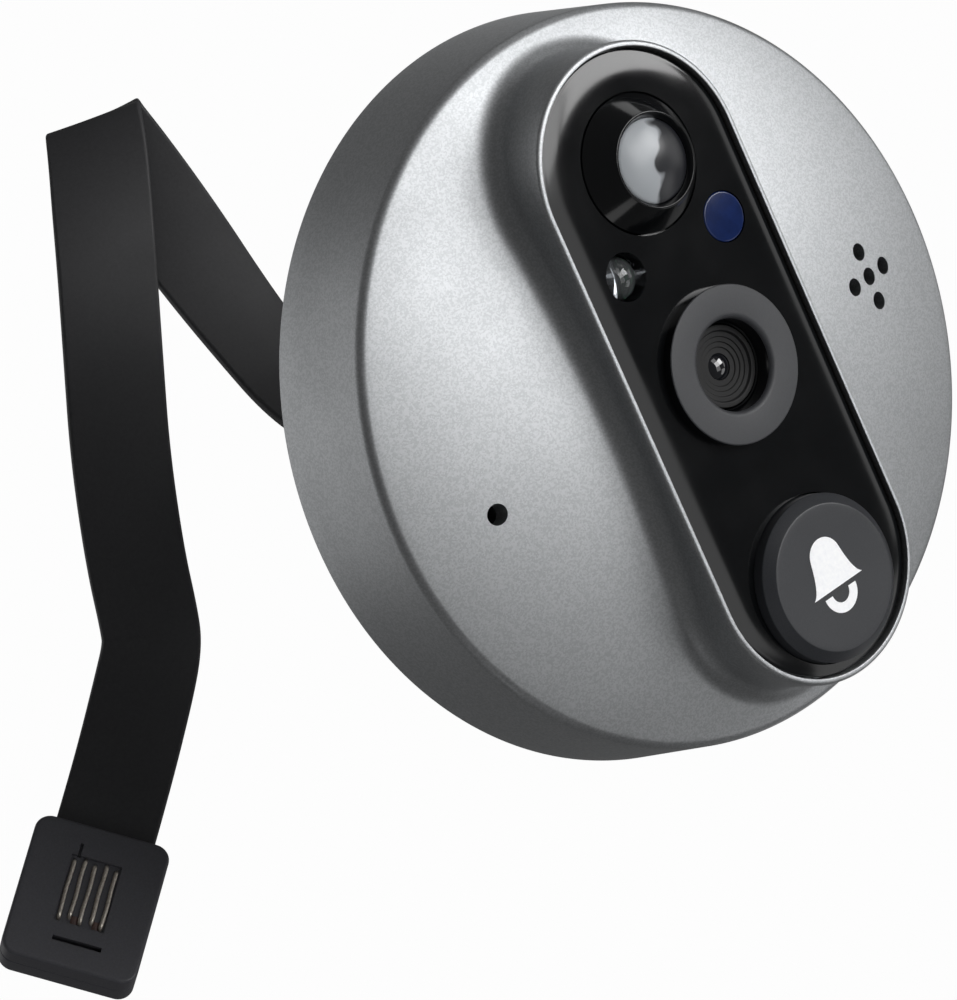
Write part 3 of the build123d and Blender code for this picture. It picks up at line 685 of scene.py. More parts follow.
@dataclass
class Casing:
    """Silver shell: rim, domed front, raised obround boss and the pocket for the panel.

    Attributes:
        rear_radius: Radius of the rim at the door.
        crease_radius: Radius of the crease between rim and dome.
        rim_height: Height of the crease.
        dome_radius: Ball radius of the dome.
        wall: Wall thickness.
        span: Half the distance between the centres of the boss's round ends.
        boss_radius: Half the boss's width.
        pocket_radius: Half the pocket's width.
        bay_radius: Half the width of the opening under the panel.
        lip_height: Height of the boss's top.
        ledge_height: Height of the ledge that the panel sits on.
    """

    rear_radius: float = 32.5
    crease_radius: float = 31.65
    rim_height: float = 10.85
    dome_radius: float = 95.0
    wall: float = 1.6
    span: float = 18.0
    boss_radius: float = 10.8
    pocket_radius: float = 10.25
    bay_radius: float = 9.2
    lip_height: float = 19.0
    ledge_height: float = 17.05
    foot_fillet: float = 2.2
    crease_fillet: float = 1.0
    lip_fillet: float = 0.35
    rear_fillet: float = 0.4
    microphone_hole: tuple[float, float, float] = (0.9, -23.5, -1.5)
    speaker_place: tuple[float, float] = (21.6, -1.5)
    speaker_hole: float = 0.78
    speaker_pitch: float = 2.33
    dome_centre: float = field(init=False)

    def __post_init__(self) -> None:
        """Works out the height of the dome's ball centre."""
        self.dome_centre = self.rim_height - math.sqrt(self.dome_radius**2 - self.crease_radius**2)

    def dome_height(self, radius: np.ndarray, inset: float = 0.0) -> np.ndarray:
        """Height of the ball's surface: centre + sqrt((R - inset)^2 - r^2).

        Args:
            radius: Distance from the unit's axis.
            inset: Distance under the surface.

        Returns:
            The height above the door.
        """
        return self.dome_centre + np.sqrt((self.dome_radius - inset) ** 2 - radius**2)

    def _rim_profile(self) -> np.ndarray:
        """Side of the rim in (r, h), from the inner edge at the door to the end of the crease's arc.

        The crease's arc is tangent to the slanted side and to the dome. Its centre lies one fillet
        radius inside both, where the offset side line meets the offset ball.

        Returns:
            Points (r, h).
        """
        inner = self.rear_radius - self.wall
        start = np.array([self.rear_radius, 0.0])
        end = np.array([self.crease_radius, self.rim_height])
        way = (end - start) / np.linalg.norm(end - start)
        outward = np.array([way[1], -way[0]])
        base = start - outward * self.crease_fillet
        centre_of_ball = np.array([0.0, self.dome_centre])
        offset = base - centre_of_ball
        along = offset @ way
        reach = math.sqrt(along**2 - offset @ offset + (self.dome_radius - self.crease_fillet) ** 2) - along
        centre = base + way * reach
        to_dome = (centre - centre_of_ball) / np.linalg.norm(centre - centre_of_ball)
        first = math.degrees(math.atan2(outward[1], outward[0]))
        last = math.degrees(math.atan2(to_dome[1], to_dome[0]))
        crease = arc((centre[0], centre[1]), self.crease_fillet, first, last, 10)
        corners = [
            (inner, 0.0, 0.0),
            (self.rear_radius, 0.0, self.rear_fillet),
            (crease[0, 0], crease[0, 1], 0.0),
        ]
        rear = rounded(corners)
        share = np.linspace(0.0, 1.0, 6)[1:-1, None]
        side = rear[-2] * (1 - share) + rear[-1] * share
        return np.concatenate([rear[:-1], side, crease])

    def _rings(self) -> np.ndarray:
        """All rings of the shell, outside then inside.

        Rim rings are circles. Dome rings blend straight from the crease's circle to the foot of the
        boss, at the ball's height. The foot is a ball of the fillet's radius rolled along the wall:
        its centre stays one radius outside the wall and one above the dome, and its arc goes from
        the dome's normal to the wall's. Lip and pocket rings are obrounds.

        Returns:
            Points of shape (rings, points, 3), in metres.
        """
        outline = Obround(self.span, 160, 120)
        place, way_x, way_z = outline.spine()
        ball_radius = self.boss_radius + self.foot_fillet
        ball_x, ball_z = ball_radius * way_x, place + ball_radius * way_z
        ball_h = self.dome_height(np.hypot(ball_x, ball_z), -self.foot_fillet)
        centres = np.stack([ball_x, ball_z, ball_h], axis=-1)
        to_wall = np.stack([-way_x, -way_z, np.zeros_like(way_x)], axis=-1)
        to_dome = np.array([0.0, 0.0, self.dome_centre]) - centres
        to_dome /= np.linalg.norm(to_dome, axis=-1, keepdims=True)
        turn = np.arccos(np.sum(to_wall * to_dome, axis=-1))[None, :, None]
        share = np.linspace(0.0, 1.0, 15)[:, None, None]
        blend = (np.sin((1 - share) * turn) * to_dome + np.sin(share * turn) * to_wall) / np.sin(turn)
        foot = centres + self.foot_fillet * blend

        rim = self._rim_profile()
        angle = np.arctan2(foot[0, :, 1], foot[0, :, 0])
        rim_rings = to_row(rim[:, :1] * np.cos(angle), rim[:, :1] * np.sin(angle), rim[:, 1:])
        edge_x, edge_z = rim[-1, 0] * np.cos(angle), rim[-1, 0] * np.sin(angle)
        share = np.linspace(0.0, 1.0, 27)[1:-1, None]
        dome_x = edge_x * (1 - share) + foot[0, :, 0] * share
        dome_z = edge_z * (1 - share) + foot[0, :, 1] * share
        dome_rings = to_row(dome_x, dome_z, self.dome_height(np.hypot(dome_x, dome_z)))
        foot_rings = to_row(foot[..., 0], foot[..., 1], foot[..., 2])

        lip = rounded(
            [
                (self.boss_radius, self.lip_height - 1.2, 0.0),
                (self.boss_radius, self.lip_height, self.lip_fillet),
                (self.pocket_radius, self.lip_height, 0.1),
                (self.pocket_radius, self.ledge_height, 0.0),
                (self.bay_radius, self.ledge_height, 0.0),
            ]
        )
        lip_rings = outline.rings(lip)
        bay_x, bay_z = self.bay_radius * way_x, place + self.bay_radius * way_z
        inner_edge = self.crease_radius - self.wall
        share = np.linspace(0.0, 1.0, 8)[:, None]
        inner_x = bay_x * (1 - share) + inner_edge * np.cos(angle) * share
        inner_z = bay_z * (1 - share) + inner_edge * np.sin(angle) * share
        inner_rings = to_row(inner_x, inner_z, self.dome_height(np.hypot(inner_x, inner_z), self.wall))
        return np.concatenate([rim_rings, dome_rings, foot_rings, lip_rings, inner_rings])

    def build(self) -> None:
        """Builds the shell, drills its sound holes and dresses it."""
        shell = ringed("silver_casing", self._rings(), rows_close=True)
        x, z = self.speaker_place
        offsets = [(0, 0), (-1, 0), (1, 0), (0, -1), (0, 1)]
        pitch = self.speaker_pitch
        holes = [(self.speaker_hole, x + pitch * a, z + pitch * b) for a, b in offsets]
        holes.append(self.microphone_hole)
        cut(shell, drills(holes, 8.0, self.lip_height))
        dress(shell, SILVER, HOUSING, ("front_cover",))


# ---------------------------------------------------------------- panel and what shows in it


@dataclass
class FrontPanel:
    """Gloss black obround window, a little rounded off towards its edge.

    Attributes:
        span: Half the distance between the centres of the round ends.
        radius: Half the panel's width.
        top: Height of its face.
        thickness: Thickness of the panel.
        roll_width: Width of the rounded-off border.
        roll_slope: Slope of the face at the panel's edge.
        holes: (radius, x, z) of each hole.
    """

    span: float = 18.0
    radius: float = 10.1
    top: float = 18.75
    thickness: float = 1.5
    roll_width: float = 2.6
    roll_slope: float = 0.22
    holes: tuple[tuple[float, float, float], ...] = (
        (6.0, 0.0, 18.6),
        (2.05, -5.9, 11.0),
        (2.2, 5.9, 11.0),
        (5.3, 0.0, 0.0),
        (7.28, 0.0, -20.0),
    )

    def build(self) -> None:
        """Builds the panel: its border falls by slope * s^2 / (2 width), s into the border."""
        into = np.linspace(0.0, 1.0, 16)
        drop = self.roll_slope * self.roll_width * into**2 / 2
        border = np.stack([self.radius - self.roll_width * (1 - into), self.top - drop], axis=1)
        edge = self.top - drop[-1]
        inner = np.linspace(0.0, self.radius - self.roll_width, 6, endpoint=False)
        face = np.stack([inner, np.full_like(inner, self.top)], axis=1)
        low = self.top - self.thickness
        side = rounded(
            [
                (self.radius - 0.3, edge + 0.3 * self.roll_slope, 0.0),
                (self.radius, edge, 0.12),
                (self.radius, low, 0.0),
                (0.0, low, 0.0),
            ]
        )
        profile = np.concatenate([face, border[border[:, 0] < self.radius - 0.3], side])
        panel = ringed("gloss_panel", Obround(self.span).rings(profile), rows_close=False)
        cut(panel, drills(list(self.holes), low - 1.0, self.top + 1.0))
        dress(panel, GLOSS_BLACK, HOUSING, ("front_panel",))


@dataclass
class MotionSensor:
    """Black cone with the domed grey lens of the motion sensor.

    Attributes:
        at: The sensor's axis.
        panel_top: Height of the panel's face.
        base: Radius of the cone at the panel.
        rim: Radius of the cone's rim.
        rim_rise: Height of the rim above the panel.
        lens: Radius of the lens.
        lens_rise: How far the lens bulges out of its shoulder.
    """

    at: tuple[float, float] = (0.0, 18.6)
    panel_top: float = 18.75
    base: float = 5.85
    rim: float = 4.06
    rim_rise: float = 2.35
    flange: float = 6.8
    lens: float = 3.55
    lens_rise: float = 0.9

    def collar(self) -> None:
        """Turns the cone, its hidden flange and the bore that holds the lens."""
        low = self.panel_top - 2.25
        seat = self.panel_top + 0.25
        top = self.panel_top + self.rim_rise
        corners = [
            (self.flange, low, 0.0),
            (self.flange, low + 0.75, 0.0),
            (self.base, low + 0.75, 0.0),
            (self.base, self.panel_top + 0.05, 0.1),
            (self.rim, top, 0.12),
            (self.rim - 0.18, top, 0.08),
            (self.lens + 0.05, top - 0.5, 0.05),
            (self.lens + 0.05, seat, 0.0),
            (4.35, seat, 0.0),
            (4.35, low, 0.0),
        ]
        profile = rounded(corners, closed=True)
        piece = turned("motion_sensor_cone", profile, self.at, rows_close=True, columns=192)
        dress(piece, GLOSS_BLACK, HOUSING, ("motion_sensor_collar",))

    def dome(self) -> None:
        """Turns the lens: a ball cap that rises by lens_rise, with ball radius (r^2 + d^2) / 2d."""
        shoulder = self.panel_top + self.rim_rise - 0.5
        seat = self.panel_top + 0.25
        ball = (self.lens**2 + self.lens_rise**2) / (2 * self.lens_rise)
        radius = np.linspace(0.0, self.lens - 0.06, 20)
        cap = np.stack([radius, shoulder + self.lens_rise - ball + np.sqrt(ball**2 - radius**2)], axis=1)
        foot = rounded(
            [
                (self.lens - 0.06, float(cap[-1, 1]), 0.0),
                (self.lens, shoulder - 0.05, 0.03),
                (self.lens, seat, 0.0),
                (4.3, seat, 0.0),
                (4.3, seat - 0.6, 0.0),
                (self.lens - 0.65, seat - 0.6, 0.0),
                (self.lens - 0.65, shoulder - 0.2, 0.0),
                (0.0, shoulder - 0.2, 0.0),
            ]
        )
        piece = turned("motion_sensor_dome", np.concatenate([cap, foot[1:]]), self.at, columns=160)
        dress(piece, SENSOR_LENS, HOUSING, ("motion_sensor_lens",))

    def build(self) -> None:
        """Builds the cone and the lens."""
        self.collar()
        self.dome()


@dataclass
class SideWindows:
    """Clear infrared lamp on the left, and the light sensor's dark blue filter on the right."""

    lamp_at: tuple[float, float] = (-5.9, 11.0)
    filter_at: tuple[float, float] = (5.9, 11.0)
    panel_top: float = 18.75
    lamp: float = 1.95
    lamp_base: float = 13.6
    filter: float = 2.15

    def lamp_body(self) -> None:
        """Turns the lamp: a clear bar with a half-ball end just under the panel's face."""
        shoulder = self.panel_top - self.lamp - 0.02
        end = arc((0.0, shoulder), self.lamp, 90.0, 0.0, 18)
        end[0, 0] = 0.0
        foot = np.array([(self.lamp, self.lamp_base), (0.0, self.lamp_base)])
        piece = turned("infrared_lamp_body", np.concatenate([end, foot]), self.lamp_at, columns=96)
        dress(piece, CLEAR_RESIN, HOUSING, ("infrared_lamp",))

    def filter_disc(self) -> None:
        """Turns the filter's disc, with a rounded edge that stands just proud of the panel."""
        top = self.panel_top - 0.02
        low = top - 1.4
        corners = [(0.0, top, 0.0), (self.filter, top, 0.16), (self.filter, low, 0.0), (0.0, low, 0.0)]
        piece = turned("light_sensor_disc", rounded(corners), self.filter_at, columns=128)
        dress(piece, BLUE_FILTER, HOUSING, ("light_sensor_filter",))

    def build(self) -> None:
        """Builds the lamp and the filter."""
        self.lamp_body()
        self.filter_disc()


@dataclass
class CameraEye:
    """Grey ring with a black mouth, stepped lens barrel and domed front glass."""

    panel_top: float = 18.75
    ring: float = 6.74
    ring_rise: float = 1.0
    mouth: float = 4.2
    neck: float = 5.2
    bore: float = 3.62
    barrel: float = 3.5
    barrel_drop: float = 0.7
    barrel_length: float = 7.2
    glass_drop: float = 0.5
    glass: float = 1.15
    glass_rise: float = 0.45
    baffles: int = 4

    def ring_piece(self) -> None:
        """Turns the grey ring; the mouth inside it is black."""
        top = self.panel_top + self.ring_rise
        throat = self.panel_top - self.barrel_drop
        low = self.panel_top - 3.0
        corners = [
            (self.neck, low, 0.0),
            (self.neck, self.panel_top, 0.0),
            (self.ring, self.panel_top, 0.0),
            (self.ring, top, 0.14),
            (self.mouth - 0.25, top, 0.5),
            (self.bore + 0.1, throat, 0.05),
            (self.bore, throat - 0.1, 0.0),
            (self.bore, low, 0.0),
        ]
        profile = rounded(corners, closed=True)
        piece = turned("camera_bezel", profile, (0.0, 0.0), rows_close=True, columns=192)
        dress(piece, RING_GREY, HOUSING, ("camera_ring",))
        piece.data.materials.append(GLOSS_BLACK.material())
        centres = np.empty(len(piece.data.polygons) * 3)
        piece.data.polygons.foreach_get("center", centres)
        centres = centres.reshape(-1, 3) / MM
        radius = np.hypot(centres[:, 0], centres[:, 2])
        in_mouth = (radius < self.mouth) & (-centres[:, 1] < top - 0.42)
        in_mouth |= (radius > self.ring - 0.05) & (-centres[:, 1] < top - 0.1)
        piece.data.polygons.foreach_set("material_index", in_mouth.astype(np.int32))

    def barrel_piece(self) -> None:
        """Turns the lens barrel; its sight steps down to the glass in a few baffles."""
        top = self.panel_top - self.barrel_drop
        low = top - self.barrel_length
        steps = self.baffles
        seat = top - self.glass_drop
        corners = [
            (0.0, low, 0.0),
            (self.barrel, low, 0.0),
            (self.barrel, top, 0.1),
            (self.barrel - 0.45, top, 0.05),
        ]
        radii = np.linspace(self.barrel - 0.5, self.glass + 0.1, steps + 1)
        heights = np.linspace(top - 0.12, seat, steps + 1)
        for number in range(steps):
            corners.append((float(radii[number]), float(heights[number]), 0.0))
            corners.append((float(radii[number]) - 0.08, float(heights[number + 1]), 0.0))
        corners += [(self.glass, seat, 0.0), (self.glass, seat - 0.85, 0.0), (0.0, seat - 0.85, 0.0)]
        piece = turned("lens_barrel_sight", rounded(corners), (0.0, 0.0), columns=160)
        dress(piece, BARREL_BLACK, HOUSING, ("lens_barrel",))

    def glass_piece(self) -> None:
        """Turns the front glass: a ball cap, with ball radius (r^2 + d^2) / 2d for its rise d."""
        seat = self.panel_top - self.barrel_drop - self.glass_drop
        rise = self.glass_rise
        ball = (self.glass**2 + rise**2) / (2 * rise)
        radius = np.linspace(0.0, self.glass - 0.01, 14)
        cap = np.stack([radius, seat - 0.1 + rise - ball + np.sqrt(ball**2 - radius**2)], axis=1)
        foot = np.array([(self.glass - 0.01, seat - 0.8), (0.0, seat - 0.8)])
        piece = turned("front_lens_glass", np.concatenate([cap, foot]), (0.0, 0.0), columns=96)
        dress(piece, LENS_GLASS, HOUSING, ("front_lens",))

    def build(self) -> None:
        """Builds ring, barrel and glass."""
        self.ring_piece()
        self.barrel_piece()
        self.glass_piece()


# ---------------------------------------------------------------- bell button


@dataclass
class BellButton:
    """Round button with a slightly hollow face and an inlaid bell."""

    at: tuple[float, float] = (0.0, -20.0)
    radius: float = 7.16
    top_radius: float = 6.25
    top: float = 20.5
    chamfer: float = 0.8
    hollow: float = 0.1
    flange_top: float = 17.2
    stem: float = 2.0
    stem_low: float = 16.1
    bell_top: float = 3.6
    bell_foot: float = -0.87
    bell_half: float = 2.95

    def cap(self) -> None:
        """Turns the cap; its face is a shallow bowl, hollow * (r / R)^2 below the rim reversed."""
        radius = np.linspace(0.0, self.top_radius - 0.35, 24)
        dip = self.hollow * (1 - (radius / self.top_radius) ** 2)
        face = np.stack([radius, self.top - dip], axis=1)
        shoulder = self.top - self.chamfer
        side = rounded(
            [
                (self.top_radius - 0.35, float(face[-1, 1]), 0.0),
                (self.top_radius, self.top - 0.02, 0.22),
                (self.radius, shoulder, 0.2),
                (self.radius, self.flange_top, 0.0),
                (self.radius - 1.3, self.flange_top, 0.0),
                (self.radius - 1.3, shoulder - 0.65, 0.0),
                (self.stem, shoulder - 0.65, 0.0),
                (self.stem, self.stem_low, 0.1),
                (0.0, self.stem_low, 0.0),
            ]
        )
        piece = turned("bell_button_cap", np.concatenate([face, side[1:]]), self.at, columns=192)
        dress(piece, BUTTON_DARK, BUTTON, ("bell_button",))

    def _bell_outline(self) -> np.ndarray:
        """Half a bell, mirrored: round crown, waist, then a flare to the foot.

        The half width is a cubic curve through the crown's end, the waist and the foot's corner.

        Returns:
            Points (x, z) from the left foot over the crown to the right foot.
        """
        crown_radius = 1.72
        crown_z = self.bell_top - crown_radius
        crown = arc((0.0, crown_z), crown_radius, 12.0, 90.0, 10)[::-1]
        start, end = crown[-1], np.array([self.bell_half, self.bell_foot])
        start_way, end_way = np.array([0.35, -1.7]), np.array([2.6, -1.35])
        share = np.linspace(0.0, 1.0, 16)[1:, None]
        flare = (
            (2 * share**3 - 3 * share**2 + 1) * start
            + (share**3 - 2 * share**2 + share) * start_way
            + (3 * share**2 - 2 * share**3) * end
            + (share**3 - share**2) * end_way
        )
        right = np.concatenate([crown, flare])
        left = right[1:][::-1] * np.array([-1.0, 1.0])
        return np.concatenate([left, right])

    def _inlay(self, outline: np.ndarray) -> tuple[np.ndarray, list[list[int]]]:
        """Points and faces of a flat inlay with the outline's shape.

        Args:
            outline: Points (x, z) about the button's axis.

        Returns:
            Points in metres and faces.
        """
        high, low = self.top - self.hollow * 0.62, self.top - 0.3
        count = len(outline)
        height = np.array([[high], [low]])
        points = to_row(self.at[0] + outline[:, 0], self.at[1] + outline[:, 1], height).reshape(-1, 3)
        faces = grid_faces(2, count, False)
        faces.append(list(range(count)))
        faces.append(list(range(count, 2 * count)))
        return points, faces

    def symbol(self) -> None:
        """Makes the white bell and its half-round clapper."""
        bell_points, bell_faces = self._inlay(self._bell_outline())
        centre = (0.0, self.bell_foot - 0.43)
        outer = arc(centre, 1.85, 180.0, 360.0, 28)
        inner = arc(centre, 0.97, 360.0, 180.0, 20)
        clapper_points, clapper_faces = self._inlay(np.concatenate([outer, inner]))
        first = len(bell_points)
        faces = bell_faces + [[first + corner for corner in face] for face in clapper_faces]
        piece = new_piece("bell_inlay", np.concatenate([bell_points, clapper_points]), faces)
        dress(piece, SYMBOL_WHITE, BUTTON, ("bell_symbol",))

    def build(self) -> None:
        """Builds the cap and the symbol."""
        self.cap()
        self.symbol()


# ---------------------------------------------------------------- cable and plug

# Route of the flat cable, in metres, from its connector inside the unit to the plug.
CABLE_ROUTE = (
    (0.0, -0.0038, 0.0),
    (0.0, 0.0086, 0.0),
    (-0.0004, 0.0212, -0.001),
    (-0.0009, 0.0328, -0.0012),
    (-0.0012, 0.0411, 0.0021),
    (-0.0009, 0.0468, 0.0116),
    (-0.00057, 0.0516, 0.02277),
    (-0.00041, 0.05451, 0.02905),
    (-0.00036, 0.05596, 0.03183),
    (-0.00048, 0.05613, 0.03309),
    (-0.00115, 0.05532, 0.03347),
    (-0.00179, 0.05462, 0.03295),
    (-0.00342, 0.0533, 0.03084),
    (-0.00584, 0.052, 0.02732),
    (-0.00953, 0.05041, 0.02141),
    (-0.01343, 0.04975, 0.01389),
    (-0.01706, 0.04987, 0.00579),
    (-0.02008, 0.05021, -0.00323),
    (-0.02147, 0.0505, -0.00927),
    (-0.02227, 0.05067, -0.01156),
    (-0.02488, 0.05107, -0.01469),
    (-0.03045, 0.05162, -0.02059),
    (-0.03592, 0.04995, -0.02427),
)
# Which way the cable's width points at each of those points.
CABLE_WIDTH_WAYS = (
    (1.0, 0.0, 0.0),
    (1.0, 0.0, 0.0),
    (1.0, 0.0, 0.0),
    (1.0, 0.04, 0.0),
    (1.0, 0.1, -0.04),
    (1.0, -0.01, -0.04),
    (0.943, -0.324, 0.074),
    (0.884, -0.458, 0.093),
    (0.839, -0.543, 0.041),
    (0.828, -0.559, -0.048),
    (0.823, -0.563, -0.076),
    (0.818, -0.567, -0.099),
    (0.813, -0.536, -0.228),
    (0.824, -0.451, -0.343),
    (0.864, -0.328, -0.382),
    (0.865, -0.318, -0.388),
    (0.877, -0.329, -0.35),
    (0.881, -0.329, -0.34),
    (0.815, -0.301, -0.496),
    (0.732, -0.279, -0.621),
    (0.651, -0.413, -0.636),
    (0.609, -0.483, -0.629),
    (0.591, -0.491, -0.64),
)


def along_spline(points: tuple[tuple[float, float, float], ...]) -> np.ndarray:
    """Follows a smooth NURBS spline that has the points as its control points.

    Args:
        points: The control points.

    Returns:
        Points along the spline, shape (n, 3).
    """
    curve = bpy.data.curves.new("route", "CURVE")
    curve.dimensions = "3D"
    curve.resolution_u = 12
    spline = curve.splines.new("NURBS")
    spline.points.add(len(points) - 1)
    weighted = np.ones((len(points), 4))
    weighted[:, :3] = points
    spline.points.foreach_set("co", weighted.ravel())
    spline.order_u = 3
    spline.use_endpoint_u = True
    holder = bpy.data.objects.new("route", curve)
    bpy.context.scene.collection.objects.link(holder)
    graph = bpy.context.evaluated_depsgraph_get()
    mesh = bpy.data.meshes.new_from_object(holder.evaluated_get(graph))
    places = np.empty(len(mesh.vertices) * 3)
    mesh.vertices.foreach_get("co", places)
    bpy.data.objects.remove(holder)
    bpy.data.curves.remove(curve)
    bpy.data.meshes.remove(mesh)
    return places.reshape(-1, 3)


def unit(ways: np.ndarray) -> np.ndarray:
    """Scales each vector to length 1."""
    return ways / np.linalg.norm(ways, axis=-1, keepdims=True)


@dataclass
class FlatCable:
    """Flat cable in a black sleeve, folded once, with thin welded edges."""

    width: float = 9.4
    thickness: float = 1.0
    edge_radius: float = 0.32

    def build(self, plug_pieces: list[bpy.types.Object]) -> None:
        """Carries a rounded section along the route: point + a across + b normal.

        Args:
            plug_pieces: The pieces on the cable's far end; not used.
        """
        path = along_spline(CABLE_ROUTE)
        tangent = unit(np.gradient(path, axis=0))
        ways = along_spline(CABLE_WIDTH_WAYS)
        across = unit(ways - tangent * np.sum(ways * tangent, axis=1, keepdims=True))
        normal = np.cross(tangent, across)
        half_width, half_thick = self.width / 2, self.thickness / 2
        corners = [
            (half_width, -half_thick, self.edge_radius),
            (half_width, half_thick, self.edge_radius),
            (-half_width, half_thick, self.edge_radius),
            (-half_width, -half_thick, self.edge_radius),
        ]
        section = rounded(corners, closed=True, steps=4) * MM
        offsets = section[None, :, :1] * across[:, None] + section[None, :, 1:] * normal[:, None]
        rings = path[:, None] + offsets
        piece = ringed("flat_cable_sleeve", rings, rows_close=False, capped=True)
        dress(piece, CABLE_BLACK, HOUSING, ("flat_cable",))
        length = float(np.sum(np.linalg.norm(np.diff(path, axis=0), axis=1)))
        log.info("flat cable: %.1f mm along its middle", length / MM)


@dataclass
class Plug:
    """Flat plug of two shells; five wire contacts lie in a window of the front one."""

    width: float = 12.7
    length: float = 14.4
    front: float = 1.9
    back: float = 2.1
    corner: float = 1.5
    edge: float = 0.32
    contact_pitch: float = 1.0
    contact_radius: float = 0.2
    contact_top: float = 3.4
    contact_length: float = 6.6
    contact_count: int = 5

    def __post_init__(self) -> None:
        """Works out the plug's own frame from the end of the cable's route."""
        route = np.array(CABLE_ROUTE)
        self.origin = route[-1]
        way = unit(route[-1] - route[-2])
        across = np.array(CABLE_WIDTH_WAYS[-1])
        self.across = unit(across - way * (across @ way))
        self.back_way = -way
        self.normal = np.cross(self.across, self.back_way)

    def place(self, points: np.ndarray) -> np.ndarray:
        """Moves plug points (across, towards the cable, out of the front) into the row frame.

        Args:
            points: Points in millimetres, shape (..., 3).

        Returns:
            Points in metres.
        """
        axes = np.stack([self.across, self.back_way, self.normal])
        return self.origin + points @ axes * MM

    def _outline(self, inset: float) -> np.ndarray:
        """Rounded rectangle of the plug, pulled in by inset."""
        half, low, high = self.width / 2 - inset, -self.length + inset, -inset
        radius = max(self.corner - inset, 0.3)
        corners = [(half, low, radius), (half, high, radius), (-half, high, radius), (-half, low, radius)]
        return rounded(corners, closed=True, steps=10)

    def _shell_rings(self, seam: float, face: float) -> np.ndarray:
        """Rings of a shell from the seam to the face: each is the outline pulled in by the profile.

        The seam has a small bevel that leaves a visible parting line; the face has a rounded edge.

        Args:
            seam: Height of the parting plane.
            face: Height of the face.

        Returns:
            Points of shape (rings, points, 3), in the plug's frame.
        """
        way = 1.0 if face > seam else -1.0
        profile = rounded(
            [
                (0.3, seam, 0.0),
                (0.1, seam, 0.0),
                (0.0, seam + way * 0.12, 0.0),
                (0.0, face, self.edge),
                (0.6, face, 0.0),
            ]
        )
        rings = []
        for inset, height in profile:
            outline = self._outline(float(inset))
            rings.append(np.column_stack([outline, np.full(len(outline), height)]))
        return np.stack(rings)

    def _box(
        self, centre: tuple[float, float, float], size: tuple[float, float, float]
    ) -> bpy.types.Object:
        """Box cutter in the plug's frame.

        Args:
            centre: The box's centre.
            size: Its three sides.

        Returns:
            The cutter.
        """
        signs = np.array([(-1, -1), (1, -1), (1, 1), (-1, 1)]) / 2
        low = np.column_stack([signs * size[:2] + centre[:2], np.full(4, centre[2] - size[2] / 2)])
        high = low + np.array([0.0, 0.0, size[2]])
        points = self.place(np.stack([low, high]))
        return ringed("cutter", points, rows_close=False, capped=True)

    def shells(self) -> list[bpy.types.Object]:
        """Builds both shells and cuts the front one's window, slot, slit and moulding holes.

        Returns:
            The two pieces.
        """
        front_rings = self.place(self._shell_rings(0.0, self.front))
        back_rings = self.place(self._shell_rings(0.0, -self.back))
        front = ringed("plug_front", front_rings, rows_close=False, capped=True)
        back = ringed("plug_back", back_rings, rows_close=False, capped=True)
        pitch, count = self.contact_pitch, self.contact_count
        span = pitch * (count - 1)
        middle = -self.contact_top - self.contact_length / 2
        cut(front, self._box((0.0, middle, self.front), (span + 0.75, self.contact_length + 0.3, 0.7)))
        cut(front, self._box((0.3, -0.82 * self.length, self.front), (span + 0.6, 0.5, 1.8)))
        cut(front, self._box((-2 * pitch + 0.28, -self.contact_top + 0.75, self.front), (0.3, 1.3, 1.2)))
        low_end = -self.contact_top - self.contact_length
        for place in (-0.5, 1.5):
            cut(front, self._box((place * pitch, low_end + 0.5, self.front - 0.5), (0.72, 0.8, 1.4)))
        dress(front, PLUG_BLACK, HOUSING, ("plug_front_shell",))
        dress(back, PLUG_BLACK, HOUSING, ("plug_back_shell",))
        return [front, back]

    def contacts(self) -> bpy.types.Object:
        """Lays the five wires in the window: each is a bar that dips in at both ends.

        A point of a wire is its middle line plus r (cos t across + sin t out of the front), and the
        middle line's height falls by a cosine over the last half millimetre.

        Returns:
            The piece.
        """
        share = np.linspace(0.0, 1.0, 40)
        angle = np.arange(12) / 12 * FULL_TURN
        rings: list[np.ndarray] = []
        faces: list[list[int]] = []
        columns, rows = len(angle), len(share)
        for number in range(self.contact_count):
            x = (number - (self.contact_count - 1) / 2) * self.contact_pitch
            stagger = 0.3 if number % 2 else 0.0
            start = -self.contact_top + stagger - 0.15
            along = start - share * (self.contact_length - 0.2)
            from_end = np.minimum(share, 1 - share) * self.contact_length
            dip = 0.22 * (1 + np.cos(np.pi * np.clip(from_end / 0.6, 0, 1))) / 2
            height = self.front - 0.16 - dip
            radius = self.contact_radius * np.sqrt(np.clip(from_end / 0.2, 0.02, 1.0))
            wave = 0.03 * np.sin(share * 9.0 + number * 2.1)
            points = np.stack(
                [
                    x + wave[:, None] + radius[:, None] * np.cos(angle),
                    np.repeat(along[:, None], columns, axis=1),
                    height[:, None] + radius[:, None] * np.sin(angle),
                ],
                axis=-1,
            )
            base = number * rows * columns
            faces += [[base + corner for corner in quad] for quad in grid_faces(rows, columns, False)]
            faces.append(list(range(base, base + columns)))
            faces.append(list(range(base + (rows - 1) * columns, base + rows * columns)))
            rings.append(self.place(points).reshape(-1, 3))
        piece = new_piece("plug_contact_wires", np.concatenate(rings), faces)
        return dress(piece, CONTACT_TIN, HOUSING, ("plug_contacts",))

